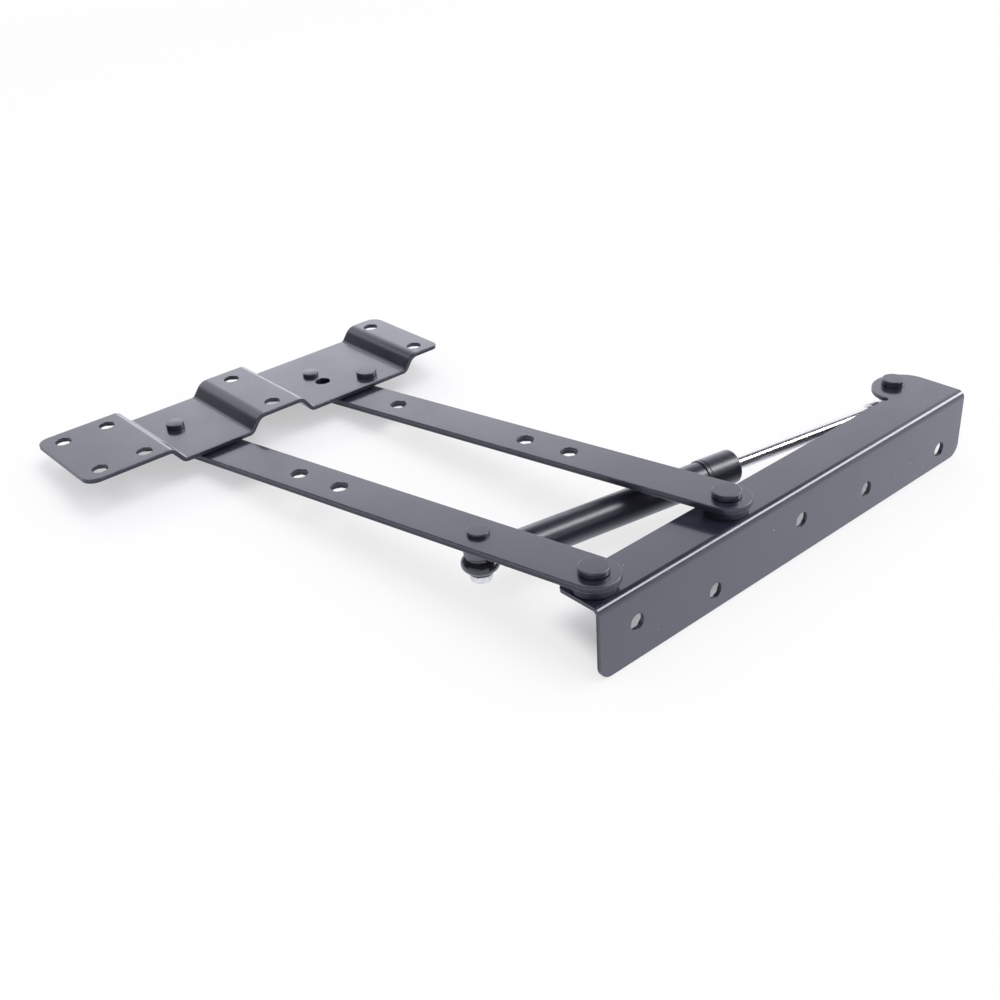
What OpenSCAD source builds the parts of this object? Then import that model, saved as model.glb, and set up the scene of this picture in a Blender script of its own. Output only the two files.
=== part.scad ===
// Lift top table mechanism with a gas spring, lying on its side with the arms raised.
// X runs along the base bracket, Y from its mounting face towards the arms, Z across the linkage.
// The origin is on the mounting face, at the middle of the third screw hole.

/* [Base bracket] */
// Length of the base bracket
bracket_l = 241; // [225:1:270]
// Height of the mounting flange
bracket_h = 33; // [30:0.5:42]
// Width of the pivot flange, from the mounting face to its back edge
bracket_w = 22.5; // [21:0.5:24]
// Thickness of the bracket's sheet
bracket_t = 2; // [1.5:0.1:3]
// Inside radius of the bracket's fold
fold_r = 1.5; // [0.5:0.1:3]
// Corner radius of the mounting flange
bracket_corner_r = 6; // [2:0.5:8]
// Corner radius of the pivot flange at the near end
flange_corner_r = 3; // [1:0.5:5]
// Radius of the ear that carries the gas spring
ear_r = 15; // [12:0.5:17]
// Distance from the ear's centre out to its pin
ear_pin_out = 6.4; // [3:0.1:8]
// Radius of the relief notch beside the ear
notch_r = 1.5; // [0.5:0.1:2.5]

/* [Screw holes in the mounting flange] */
// Diameter of the screw holes in the bracket
base_hole_d = 7; // [4:0.5:9]
// First hole, from the near end
base_hole_1 = 20; // [15:0.5:30]
// Second hole, from the near end
base_hole_2 = 65; // [50:0.5:80]
// Third hole, from the near end
base_hole_3 = 119.5; // [100:0.5:135]
// Fourth hole, from the near end
base_hole_4 = 166; // [150:0.5:180]
// Last hole, from the far end
base_hole_5 = 17; // [12:0.5:25]
// Drop of the first and third holes below the flange's top
hole_row_high = 15.5; // [12:0.5:17]
// Drop of the second and fifth holes below the flange's top
hole_row_low = 24; // [20:0.5:25]
// Drop of the fourth hole below the flange's top
hole_row_mid = 20.5; // [17:0.5:22]

/* [Arms] */
// Length of each arm between its pivots
arm_l = 227; // [200:1:260]
// Width of each arm
arm_w = 21; // [19:0.5:24]
// Thickness of each arm
arm_t = 3; // [2:0.1:4]
// Diameter of the spare holes in the arms
arm_hole_d = 7.5; // [4:0.5:9]
// First spare hole in the near arm, from its base pivot
near_hole_1 = 126; // [110:1:135]
// Second spare hole in the near arm, from its base pivot
near_hole_2 = 149; // [146:1:165]
// First spare hole in the far arm, from its base pivot
far_hole_1 = 75; // [60:1:85]
// Second spare hole in the far arm, from its base pivot
far_hole_2 = 98; // [96:1:115]
// Third spare hole in the far arm, from its base pivot
far_hole_3 = 171; // [150:1:175]

/* [Linkage] */
// Distance between the two base pivots, and between the two plate pivots
pivot_span = 75; // [70:1:85]
// Near base pivot, from the bracket's near end
near_pivot_in = 9.5; // [8:0.5:14]
// Base pivots, from the mounting face
pivot_y = 12; // [11:0.5:13]
// Angle of the arms to the bracket when they are raised
raised_deg = 103; // [95:1:108]
// Angle of the arms to the bracket when they are folded
folded_deg = 20; // [19:1:30]

/* [Top plate] */
// Thickness of the top plate's sheet
plate_t = 2; // [1.5:0.1:3]
// Width of the top plate
plate_w = 53.5; // [50:0.5:60]
// Height of the raised pads over the low pads
pad_step = 6.5; // [5:0.5:10]
// Length that each riser covers
riser_run = 5; // [4:0.5:7]
// Inside radius of the plate's tight bends
bend_r = 2; // [1:0.1:2.5]
// Inside radius of the soft bends at the top of the second and fourth risers
soft_bend_r = 5; // [2:0.5:6]
// First raised pad, from the end to the middle of its riser
pad_1_l = 42.5; // [38:0.5:50]
// First low pad, between the middles of its risers
low_1_l = 39.5; // [36:0.5:45]
// Middle raised pad, between the middles of its risers
pad_2_l = 28; // [24:0.5:32]
// Second low pad, between the middles of its risers
low_2_l = 60; // [58:0.5:70]
// Last raised pad, from the middle of its riser to the end
pad_3_l = 19; // [18:0.5:26]
// Corner radius of the top plate
plate_corner_r = 6; // [2:0.5:8]
// Corner radius of the last pad's front corner
last_corner_r = 3.5; // [2:0.5:8]
// Near plate pivot, from the middle of the first riser
plate_pivot_in = 14.5; // [12:0.5:17]
// Plate pivots, from the plate's front edge
plate_pivot_y = 31; // [28:0.5:33]
// Diameter of the screw holes in the top plate
plate_hole_d = 7; // [4:0.5:8]
// Outer screw holes, from the plate's ends
plate_hole_in = 9.5; // [8:0.5:10.5]
// Spacing of the two columns of holes in the first pad
plate_hole_pitch = 21; // [16:0.5:23]
// Front row of screw holes, from the front edge
plate_row_in = 8; // [7:0.5:12]
// Spacing of the two rows of screw holes
plate_row_pitch = 36.5; // [30:0.5:38]
// Spare hole, in front of the far plate pivot
spare_hole_out = 10.5; // [9.5:0.5:14]

/* [Rivets and washers] */
// Shank diameter of the base pivots
base_pin_d = 8; // [6:0.5:10]
// Head diameter of the base pivots
base_head_d = 12.2; // [12:0.1:15]
// Height of the large rivet heads
head_h = 2.5; // [1.5:0.1:4]
// Thickness of the formed heads under the sheets
foot_h = 1.5; // [1:0.1:2.2]
// How far a formed head reaches beyond its shank
foot_rim = 1.5; // [1:0.1:2]
// Thickness of the washers between the bracket and the arms
base_washer_t = 3.5; // [2:0.1:4]
// Outside diameter of the washers between the bracket and the arms
base_washer_d = 18; // [14:0.5:18.5]
// Shank diameter of the near plate pivot
plate_pin_d = 6; // [5:0.1:6.5]
// Head diameter of the near plate pivot
plate_head_d = 8.3; // [8:0.1:10]
// Shank diameter of the far plate pivot
small_pin_d = 5; // [4:0.1:5.5]
// Head diameter of the far plate pivot
small_head_d = 7.6; // [7:0.1:9]
// Height of the small rivet heads
small_head_h = 1.7; // [1:0.1:2.5]
// Thickness of the washers between the arms and the top plate
plate_washer_t = 0.5; // [0.4:0.1:1]
// Outside diameter of the washers between the arms and the top plate
plate_washer_d = 14; // [10:0.5:16]
// Diameter of the stop pin
stop_d = 6; // [5:0.1:7]
// Head diameter of the stop pin
stop_head_d = 10; // [9:0.1:11]
// Stop pin, back along the far arm from its plate pivot
stop_back = 24.8; // [20:0.1:26]
// Shank diameter of the gas spring's studs
stud_d = 6; // [5:0.1:6.5]
// Thread diameter of the gas spring's studs
thread_d = 5; // [4:0.1:5]
// Head diameter of the stud in the near arm
stud_head_d = 9.1; // [9:0.1:11]
// Head height of the stud in the near arm
stud_head_h = 1.6; // [1:0.1:2.5]
// Head diameter of the rivet in the ear
ear_head_d = 10.6; // [9:0.1:12]
// Head height of the rivet in the ear
ear_head_h = 3; // [1.5:0.1:4]
// Outside diameter of the stud's spacer
stud_spacer_d = 13; // [10:0.5:13]
// Outside diameter of the spacer under the ear
ear_spacer_d = 10; // [9:0.5:12]
// Width of the nuts across their flats
nut_af = 8; // [7.5:0.1:10]
// Height of the nuts
nut_h = 3.2; // [2:0.1:4]
// Length of thread that stands out of a nut
thread_out = 0.8; // [0.4:0.1:1.5]

/* [Gas spring] */
// Gas spring stud, from the near arm's base pivot
stud_at = 53; // [50:1:58]
// Depth of the gas spring's axis below the pivot flange's top, at the near arm's stud
spring_drop = 6.8; // [6:0.1:9]
// Depth of the gas spring's axis below the pivot flange's top, at the ear
ear_drop = 11; // [9:0.1:12]
// Outside diameter of the gas tube
tube_d = 14.5; // [12:0.5:16]
// Wall of the gas tube
tube_wall = 1; // [0.8:0.1:1.5]
// Length of the gas tube beyond the rod's travel
tube_spare_l = 51.4; // [48:0.1:58]
// How far the rod cap stands out round the tube
cap_rim = 0.5; // [0.4:0.1:1.5]
// Length of the rod cap
cap_l = 18; // [12:0.5:20]
// Thickness of the rod cap's end wall
cap_wall = 2; // [1:0.1:3]
// Diameter of the rod
rod_d = 6; // [5:0.1:7]
// Length of the rod guide
guide_l = 7; // [5:0.5:10]
// Length of the rod seal
seal_l = 3; // [2:0.5:5]
// Length of the piston
piston_l = 8; // [6:0.5:12]
// Width of the piston ring
ring_w = 2.4; // [1.5:0.1:3]
// Depth of the piston ring's groove
ring_depth = 1.2; // [0.8:0.1:1.6]
// Gap left between the piston and the seal when the arms are raised
piston_gap = 4; // [1:0.5:8]
// Outside radius of the eyes
eye_r = 8; // [7.5:0.1:9]
// Thickness of the eyes
eye_t = 5.4; // [4:0.1:6]
// Share of the eyes' thickness that their rounded rims take up
eye_round_share = 0.95; // [0.2:0.05:0.95]
// Diameter of the bosses on both sides of the eyes
boss_d = 11; // [9:0.1:12]
// Height of the bosses on both sides of the eyes
boss_h = 1.6; // [0.5:0.1:2]
// Thickness of the web between an eye and its neck
web_t = 4.6; // [3:0.1:5]
// Width of the web between an eye and its neck
web_w = 7.6; // [6:0.1:7.8]
// Length of the neck between the tube and its eye
tube_neck_l = 4.8; // [3:0.1:8]
// Diameter of the neck between the tube and its eye
tube_neck_d = 9.5; // [8:0.1:10]
// Length of the neck between the rod and its eye
rod_neck_l = 6; // [5:0.5:16]
// Diameter of the neck between the rod and its eye
rod_neck_d = 9; // [9:0.1:10]

/* [Clearances] */
// Gap between faces that slide past each other
run_gap = 0.3; // [0.2:0.05:0.4]
// Radial play of a pin that turns in its hole
pin_play = 0.08; // [0.05:0.01:0.1]
// Radial play of a pin that is fixed in its hole
seat_play = 0.05; // [0.02:0.01:0.08]
// Gap between the far arm's edge and the stop pin
stop_gap = 0.1; // [0.05:0.01:0.2]
// Radial play between the piston ring and the tube
ring_play = 0.08; // [0.05:0.01:0.1]

/* [Hidden] */

black_steel = [0.33, 0.33, 0.37];
black_plastic = [0.12, 0.12, 0.13];
gloss_black = [0.16, 0.16, 0.19];
grey_plastic = [0.55, 0.55, 0.57];
zinc = [0.82, 0.83, 0.85];
chrome = [0.9, 0.9, 0.92];
bronze = [0.62, 0.5, 0.34];

round_fn = 64;
bend_steps = 10;
// How far a cut runs past the face that it opens
over = 1;
// Chamfer round a rivet head
head_bevel = 0.4;
// How far a round neck stays off its eye, and how far the web reaches into the neck
web_gap = 0.5;
web_run = 1.5;

// Heights across the linkage
flange_top = hole_row_high;
flange_bottom = flange_top - bracket_h;
flange_under = flange_top - bracket_t;
arm_under = flange_top + base_washer_t + run_gap;
arm_top = arm_under + arm_t;
plate_under = arm_top + run_gap + plate_washer_t;
plate_top = plate_under + plate_t;
pad_top = plate_top + pad_step;
stud_z = flange_top - spring_drop;
ear_z = flange_top - ear_drop;
eye_half = eye_t / 2 + boss_h;

// Pivots in plan
near_end = -base_hole_3;
far_end = near_end + bracket_l;
along = [cos(raised_deg), sin(raised_deg)];
across = [sin(raised_deg), -cos(raised_deg)];
near_base = [near_end + near_pivot_in, pivot_y];
far_base = near_base + [pivot_span, 0];
near_top = near_base + arm_l * along;
far_top = far_base + arm_l * along;
stud_pos = near_base + stud_at * along;
ear_centre = [far_end - ear_r, bracket_w];
ear_pin = ear_centre + [0, ear_pin_out];
stop_pos = far_top - stop_back * along + (arm_w / 2 + stop_d / 2 + stop_gap) * across;
spare_pos = far_top - [0, spare_hole_out];

// Top plate in plan, with the risers' middles along X
plate_left = near_top[0] - plate_pivot_in - pad_1_l;
riser_1 = plate_left + pad_1_l;
riser_2 = riser_1 + low_1_l;
riser_3 = riser_2 + pad_2_l;
riser_4 = riser_3 + low_2_l;
plate_right = riser_4 + pad_3_l;
plate_front = near_top[1] - plate_pivot_y;
plate_back = plate_front + plate_w;
plate_rows = [plate_front + plate_row_in, plate_front + plate_row_in + plate_row_pitch];
plate_columns = [
    plate_left + plate_hole_in,
    plate_left + plate_hole_in + plate_hole_pitch,
    (riser_2 + riser_3) / 2,
    plate_right - plate_hole_in
];

// Gas spring, which drops a little from the stud to the ear, measured along its axis from the stud
spring_v = ear_pin - stud_pos;
spring_run = norm(spring_v);
spring_l = norm([spring_run, stud_z - ear_z]);
spring_deg = atan2(spring_v[1], spring_v[0]);
spring_tilt = atan2(stud_z - ear_z, spring_run);
folded_stud = near_base + stud_at * [cos(folded_deg), sin(folded_deg)];
rod_travel = (spring_run - norm(ear_pin - folded_stud)) / cos(spring_tilt);
tube_l = rod_travel + tube_spare_l;
tube_start = eye_r + tube_neck_l;
tube_end = tube_start + tube_l;
cap_end = tube_end + cap_wall;
tube_bore = tube_d / 2 - tube_wall;
cap_d = tube_d + 2 * cap_rim;
guide_start = tube_end - guide_l;
seal_start = guide_start - seal_l;
piston_end = seal_start - piston_gap;
piston_start = piston_end - piston_l;
rod_neck_start = spring_l - eye_r - rod_neck_l;
rod_grip = rod_neck_l - web_gap - web_run;
rod_end = rod_neck_start + rod_grip;
// Top of what rides with the rod below the ear, which rises a little as the rod slides in
ear_stack_top = flange_under - run_gap - rod_travel * sin(spring_tilt);

function unit(v) = v / norm(v);
function left_of(v) = [-v[1], v[0]];
function turned(v, a) = [v[0] * cos(a) - v[1] * sin(a), v[0] * sin(a) + v[1] * cos(a)];
function turn_sign(a, b) = a[0] * b[1] - a[1] * b[0] < 0 ? -1 : 1;
function turn_angle(a, b) = acos(max(-1, min(1, a * b)));

// The points of one bend of a sheet, off the sheet's middle line by side
function bend(a, b, corner, radius, side) =
    let (
        s = turn_sign(a, b),
        angle = turn_angle(a, b),
        centre = corner - a * radius * tan(angle / 2) + s * radius * left_of(a)
    )
    [for (k = [0:bend_steps]) centre + (side - s * radius) * left_of(turned(a, s * angle * k / bend_steps))];

// One side of a bent sheet that follows the corners in path, with one radius for each corner
function sheet_side(path, radii, side) = [
    path[0] + side * left_of(unit(path[1] - path[0])),
    for (i = [1:len(path) - 2])
        each bend(unit(path[i] - path[i - 1]), unit(path[i + 1] - path[i]), path[i], radii[i - 1], side),
    path[len(path) - 1] + side * left_of(unit(path[len(path) - 1] - path[len(path) - 2]))
];

function reversed(list) = [for (i = [len(list) - 1:-1:0]) list[i]];

// A bent sheet's outline, with one inside radius for each corner of its path
module sheet_outline(path, inside_radii, thickness) {
    radii = [for (r = inside_radii) r + thickness / 2];
    polygon(concat(
        sheet_side(path, radii, thickness / 2),
        reversed(sheet_side(path, radii, -thickness / 2))
    ));
}

// What a rounded corner leaves of a square one, with the corner at the origin and the part towards +X and +Y
module corner_waste(radius, depth) {
    linear_extrude(depth)
        difference() {
            translate([-over, -over])
                square(radius + over);
            translate([radius, radius])
                circle(radius, $fn = round_fn);
        }
}

module at(p, z) {
    translate([p[0], p[1], z])
        children();
}

module rod_shape(d, l) {
    cylinder(h = l, d = d, $fn = round_fn);
}

module ring(outer_d, inner_d, l) {
    difference() {
        rod_shape(outer_d, l);
        translate([0, 0, -over])
            rod_shape(inner_d, l + 2 * over);
    }
}

// A flat rivet head that stands on the origin, with a small chamfer round its top
module head(d, h) {
    rotate_extrude($fn = round_fn)
        polygon([[0, 0], [d / 2, 0], [d / 2, h - head_bevel], [d / 2 - head_bevel, h], [0, h]]);
}

// A rivet from its foot at z = low to its head on z = high
module rivet(shank_d, head_d, head_height, low, high) {
    translate([0, 0, high])
        head(head_d, head_height);
    translate([0, 0, low])
        rod_shape(shank_d, high - low);
    translate([0, 0, low])
        rod_shape(shank_d + 2 * foot_rim, foot_h);
}

// A hexagon nut that stands on the origin
module nut() {
    difference() {
        cylinder(h = nut_h, d = nut_af / cos(30), $fn = 6);
        translate([0, 0, -over])
            rod_shape(thread_d + 2 * seat_play, nut_h + 2 * over);
    }
}

// A shape drawn along +Z is laid along the gas spring, a distance u from the stud
module on_spring(u) {
    at(stud_pos, stud_z)
        rotate([0, 90 + spring_tilt, spring_deg])
            translate([0, 0, u])
                children();
}

// An eye at p and z with its bore upright, and its level web turned towards its neck
module eye_with_web(p, z, turn) {
    eye_round = eye_round_share * eye_t / 2;
    round_in = eye_r - eye_round;
    round_up = eye_t / 2 - eye_round;
    lower = [for (k = [0:bend_steps]) let (a = -90 + 90 * k / bend_steps)
        [round_in + eye_round * cos(a), -round_up + eye_round * sin(a)]];
    upper = [for (k = [0:bend_steps]) let (a = 90 * k / bend_steps)
        [round_in + eye_round * cos(a), round_up + eye_round * sin(a)]];
    at(p, z)
        rotate_extrude($fn = round_fn)
            polygon(concat([[0, -eye_t / 2]], lower, upper, [[0, eye_t / 2]]));
    at(p, z - eye_half)
        rod_shape(boss_d, 2 * eye_half);
    at(p, z)
        rotate([0, 90, turn])
            translate([-web_t / 2, -web_w / 2, 0])
                cube([web_t, web_w, eye_r + web_run]);
}

// An arm from its base pivot to its plate pivot, with holes as pairs of distance and diameter
module arm(base, top_pin_d, holes) {
    cuts = concat(holes, [
        [0, base_pin_d + 2 * pin_play],
        [arm_l, top_pin_d + 2 * pin_play]
    ]);
    at(base, arm_under)
        rotate([0, 0, raised_deg])
            difference() {
                union() {
                    for (x = [0, arm_l])
                        translate([x, 0, 0])
                            rod_shape(arm_w, arm_t);
                    translate([0, -arm_w / 2, 0])
                        cube([arm_l, arm_w, arm_t]);
                }
                for (cut = cuts)
                    translate([cut[0], 0, -over])
                        rod_shape(cut[1], arm_t + 2 * over);
            }
}

module base_bracket() {
    color(black_steel)
        difference() {
            union() {
                translate([near_end, 0, 0])
                    rotate([90, 0, 90])
                        linear_extrude(bracket_l)
                            sheet_outline(
                                [
                                    [bracket_t / 2, flange_bottom],
                                    [bracket_t / 2, flange_top - bracket_t / 2],
                                    [bracket_w, flange_top - bracket_t / 2]
                                ],
                                [fold_r], bracket_t
                            );
                at(ear_centre, flange_under)
                    rod_shape(2 * ear_r, bracket_t);
            }
            base_holes();
            bracket_corners();
            for (p = [near_base, far_base])
                at(p, flange_under - over)
                    rod_shape(base_pin_d + 2 * seat_play, bracket_t + 2 * over);
            at(ear_pin, flange_under - over)
                rod_shape(stud_d + 2 * seat_play, bracket_t + 2 * over);
            at(ear_centre - [ear_r + notch_r / 2, 0], flange_under - over)
                rod_shape(2 * notch_r, bracket_t + 2 * over);
        }
}

module base_holes() {
    holes = [
        [near_end + base_hole_1, hole_row_high],
        [near_end + base_hole_2, hole_row_low],
        [near_end + base_hole_3, hole_row_high],
        [near_end + base_hole_4, hole_row_mid],
        [far_end - base_hole_5, hole_row_low]
    ];
    for (hole = holes)
        translate([hole[0], bracket_t + over, flange_top - hole[1]])
            rotate([90, 0, 0])
                rod_shape(base_hole_d, bracket_t + 2 * over);
}

module bracket_corners() {
    depth = bracket_t + 2 * over;
    translate([near_end, bracket_t + over, flange_bottom])
        rotate([90, 0, 0])
            corner_waste(bracket_corner_r, depth);
    translate([far_end, bracket_t + over, flange_bottom])
        mirror([1, 0, 0])
            rotate([90, 0, 0])
                corner_waste(bracket_corner_r, depth);
    translate([near_end, bracket_w, flange_under - over])
        mirror([0, 1, 0])
            corner_waste(flange_corner_r, depth);
}

module near_arm() {
    holes = [
        [stud_at, stud_d + 2 * seat_play],
        [near_hole_1, arm_hole_d],
        [near_hole_2, arm_hole_d]
    ];
    color(black_steel)
        arm(near_base, plate_pin_d, holes);
}

module far_arm() {
    holes = [
        [far_hole_1, arm_hole_d],
        [far_hole_2, arm_hole_d],
        [far_hole_3, arm_hole_d]
    ];
    color(black_steel)
        arm(far_base, small_pin_d, holes);
}

module top_plate() {
    low_z = plate_top - plate_t / 2;
    high_z = low_z + pad_step;
    half = riser_run / 2;
    path = [
        [plate_left, high_z],
        [riser_1 - half, high_z], [riser_1 + half, low_z],
        [riser_2 - half, low_z], [riser_2 + half, high_z],
        [riser_3 - half, high_z], [riser_3 + half, low_z],
        [riser_4 - half, low_z], [riser_4 + half, high_z],
        [plate_right, high_z]
    ];
    radii = [bend_r, bend_r, bend_r, soft_bend_r, bend_r, bend_r, bend_r, soft_bend_r];
    color(black_steel)
        difference() {
            translate([0, plate_back, 0])
                rotate([90, 0, 0])
                    linear_extrude(plate_w)
                        sheet_outline(path, radii, plate_t);
            for (x = plate_columns)
                for (y = plate_rows)
                    at([x, y], plate_under - over)
                        rod_shape(plate_hole_d, pad_step + plate_t + 2 * over);
            at(spare_pos, plate_under - over)
                rod_shape(plate_hole_d, plate_t + 2 * over);
            at(near_top, plate_under - over)
                rod_shape(plate_pin_d + 2 * seat_play, plate_t + 2 * over);
            at(far_top, plate_under - over)
                rod_shape(small_pin_d + 2 * seat_play, plate_t + 2 * over);
            at(stop_pos, plate_under - over)
                rod_shape(small_pin_d + 2 * seat_play, plate_t + 2 * over);
            plate_corners();
        }
}

module plate_corners() {
    depth = pad_step + plate_t + 2 * over;
    for (side = [0, 1])
        translate([side == 0 ? plate_left : plate_right, 0, plate_under - over])
            mirror([side, 0, 0]) {
                translate([0, plate_front, 0])
                    corner_waste(side == 0 ? plate_corner_r : last_corner_r, depth);
                translate([0, plate_back, 0])
                    mirror([0, 1, 0])
                        corner_waste(plate_corner_r, depth);
            }
}

module base_pivot(p) {
    color(black_steel)
        at(p, 0)
            rivet(base_pin_d, base_head_d, head_h, flange_under - foot_h, arm_top + run_gap);
}

module near_base_pivot() {
    base_pivot(near_base);
}

module far_base_pivot() {
    base_pivot(far_base);
}

module base_washer(p) {
    color(black_plastic)
        at(p, flange_top)
            ring(base_washer_d, base_pin_d + 2 * seat_play, base_washer_t);
}

module near_base_washer() {
    base_washer(near_base);
}

module far_base_washer() {
    base_washer(far_base);
}

module near_plate_pivot() {
    color(black_steel)
        at(near_top, 0)
            rivet(plate_pin_d, plate_head_d, head_h, arm_under - run_gap - foot_h, plate_top);
}

module far_plate_pivot() {
    color(black_steel)
        at(far_top, 0)
            rivet(small_pin_d, small_head_d, small_head_h, arm_under - run_gap - foot_h, plate_top);
}

module near_plate_washer() {
    color(black_plastic)
        at(near_top, arm_top + run_gap)
            ring(plate_washer_d, plate_pin_d + 2 * seat_play, plate_washer_t);
}

module far_plate_washer() {
    color(black_plastic)
        at(far_top, arm_top + run_gap)
            ring(plate_washer_d, small_pin_d + 2 * seat_play, plate_washer_t);
}

module stop_pin() {
    color(black_steel)
        at(stop_pos, 0) {
            translate([0, 0, plate_top])
                head(stop_head_d, head_h);
            translate([0, 0, plate_under])
                rod_shape(small_pin_d, plate_t);
            translate([0, 0, arm_under])
                rod_shape(stop_d, plate_under - arm_under);
        }
}

module spring_stud() {
    shoulder = stud_z - eye_half - run_gap;
    color(black_steel)
        at(stud_pos, 0) {
            translate([0, 0, arm_top])
                head(stud_head_d, stud_head_h);
            translate([0, 0, shoulder])
                rod_shape(stud_d, arm_top - shoulder);
            translate([0, 0, shoulder - nut_h - thread_out])
                rod_shape(thread_d, nut_h + thread_out);
        }
}

module stud_spacer() {
    low = stud_z + eye_half + run_gap;
    color(grey_plastic)
        at(stud_pos, low)
            ring(stud_spacer_d, stud_d + 2 * seat_play, arm_under - low);
}

module stud_nut() {
    color(zinc)
        at(stud_pos, stud_z - eye_half - run_gap - nut_h)
            nut();
}

module spring_tube() {
    color(gloss_black)
        on_spring(tube_start)
            difference() {
                rod_shape(tube_d, tube_l);
                translate([0, 0, tube_wall])
                    rod_shape(2 * tube_bore, tube_l);
            }
}

module tube_end_eye() {
    color(black_plastic)
        difference() {
            union() {
                eye_with_web(stud_pos, stud_z, spring_deg);
                on_spring(eye_r + web_gap)
                    rod_shape(tube_neck_d, tube_start - eye_r - web_gap);
            }
            at(stud_pos, stud_z - eye_half - over)
                rod_shape(stud_d + 2 * pin_play, 2 * (eye_half + over));
        }
}

module rod_cap() {
    start = cap_end - cap_l;
    color(gloss_black)
        on_spring(start)
            difference() {
                rod_shape(cap_d, cap_l);
                translate([0, 0, -over])
                    rod_shape(tube_d + 2 * seat_play, cap_l - cap_wall + over);
                rod_shape(rod_d + 2 * run_gap, cap_l + over);
            }
}

module rod_guide() {
    color(bronze)
        on_spring(guide_start)
            ring(2 * (tube_bore - seat_play), rod_d + 2 * pin_play, guide_l);
}

module rod_seal() {
    color(black_plastic)
        on_spring(seal_start)
            ring(2 * (tube_bore - seat_play), rod_d + 2 * pin_play, seal_l);
}

module spring_rod() {
    color(chrome)
        on_spring(piston_start)
            rod_shape(rod_d, rod_end - piston_start);
}

module piston() {
    groove = 2 * (tube_bore - run_gap - ring_depth);
    color(bronze)
        on_spring(piston_start)
            difference() {
                ring(2 * (tube_bore - run_gap), rod_d + 2 * seat_play, piston_l);
                translate([0, 0, (piston_l - ring_w) / 2])
                    ring(tube_d, groove, ring_w);
            }
}

module piston_ring() {
    groove = 2 * (tube_bore - run_gap - ring_depth);
    color(black_plastic)
        on_spring(piston_start + (piston_l - ring_w) / 2 + seat_play)
            ring(2 * (tube_bore - ring_play), groove + 2 * seat_play, ring_w - 2 * seat_play);
}

module rod_end_eye() {
    color(zinc)
        difference() {
            union() {
                eye_with_web(ear_pin, ear_z, spring_deg + 180);
                on_spring(rod_neck_start)
                    rod_shape(rod_neck_d, rod_neck_l - web_gap);
            }
            on_spring(rod_neck_start - over)
                rod_shape(rod_d + 2 * seat_play, rod_grip + over);
            at(ear_pin, ear_z - eye_half - over)
                rod_shape(stud_d + 2 * seat_play, 2 * (eye_half + over));
        }
}

module ear_rivet() {
    color(black_steel)
        at(ear_pin, 0) {
            translate([0, 0, flange_top])
                head(ear_head_d, ear_head_h);
            translate([0, 0, flange_under])
                rod_shape(stud_d, bracket_t);
        }
}

module ear_stud() {
    shoulder = ear_z - eye_half;
    color(zinc)
        at(ear_pin, 0) {
            translate([0, 0, shoulder])
                rod_shape(stud_d, ear_stack_top - shoulder);
            translate([0, 0, shoulder - nut_h - thread_out])
                rod_shape(thread_d, nut_h + thread_out);
        }
}

module ear_spacer() {
    color(grey_plastic)
        at(ear_pin, ear_z + eye_half)
            ring(ear_spacer_d, stud_d + 2 * seat_play, ear_stack_top - ear_z - eye_half);
}

module ear_nut() {
    color(zinc)
        at(ear_pin, ear_z - eye_half - nut_h)
            nut();
}

base_bracket();
near_arm();
far_arm();
top_plate();
near_base_pivot();
far_base_pivot();
near_base_washer();
far_base_washer();
near_plate_pivot();
far_plate_pivot();
near_plate_washer();
far_plate_washer();
stop_pin();
spring_stud();
stud_spacer();
stud_nut();
spring_tube();
tube_end_eye();
rod_cap();
rod_guide();
rod_seal();
spring_rod();
piston();
piston_ring();
rod_end_eye();
ear_rivet();
ear_stud();
ear_spacer();
ear_nut();
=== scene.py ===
# %% [markdown]
# This file dresses a lift top table mechanism: a folded steel bracket, two flat arms, a pressed top
# plate and a gas spring, all in black. The CAD model gives every size and every joint, and this
# script gives each piece its pressed, turned or moulded surface and its finish. All coordinates
# are in the frame of the CAD model, whose origin is at the bracket's third screw hole.

import math

import bmesh
import bpy
import numpy as np
from mathutils import Matrix, Vector, geometry


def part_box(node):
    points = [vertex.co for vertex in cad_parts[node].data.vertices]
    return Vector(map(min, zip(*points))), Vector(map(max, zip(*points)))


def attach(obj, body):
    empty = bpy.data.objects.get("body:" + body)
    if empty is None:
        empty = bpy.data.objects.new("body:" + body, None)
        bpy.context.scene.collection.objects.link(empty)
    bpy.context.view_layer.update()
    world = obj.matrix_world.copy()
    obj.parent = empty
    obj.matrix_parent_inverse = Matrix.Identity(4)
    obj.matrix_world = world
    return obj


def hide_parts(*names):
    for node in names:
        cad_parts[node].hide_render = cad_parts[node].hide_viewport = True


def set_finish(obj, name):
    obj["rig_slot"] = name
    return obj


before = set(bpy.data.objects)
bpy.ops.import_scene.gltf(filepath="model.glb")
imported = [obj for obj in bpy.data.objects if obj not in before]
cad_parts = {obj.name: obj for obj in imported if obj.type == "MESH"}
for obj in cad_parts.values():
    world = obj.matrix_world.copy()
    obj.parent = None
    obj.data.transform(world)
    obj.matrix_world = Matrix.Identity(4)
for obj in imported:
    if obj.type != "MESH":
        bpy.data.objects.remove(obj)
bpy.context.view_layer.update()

# %% [markdown]
# The camera looks down on the mechanism from the left front, as it lies on a table. Its place and
# its lens were fitted to the pivots, corners and screw holes of the real object, so it is written
# as a turn round a target: a camera that is found by eye would bend the proportions of every bar.

# %% Camera
CAMERA_TARGET = Vector((-0.092054, 0.085282, 0.0155))
CAMERA_AZIMUTH = math.radians(-39.2827459)
CAMERA_ELEVATION = math.radians(30.4926154)
CAMERA_ROLL = math.radians(-4.06563466)
CAMERA_DISTANCE = 0.522971
CAMERA_LENS, CAMERA_SENSOR = 45.137, 36
CAMERA_CLIP = 0.01


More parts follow.
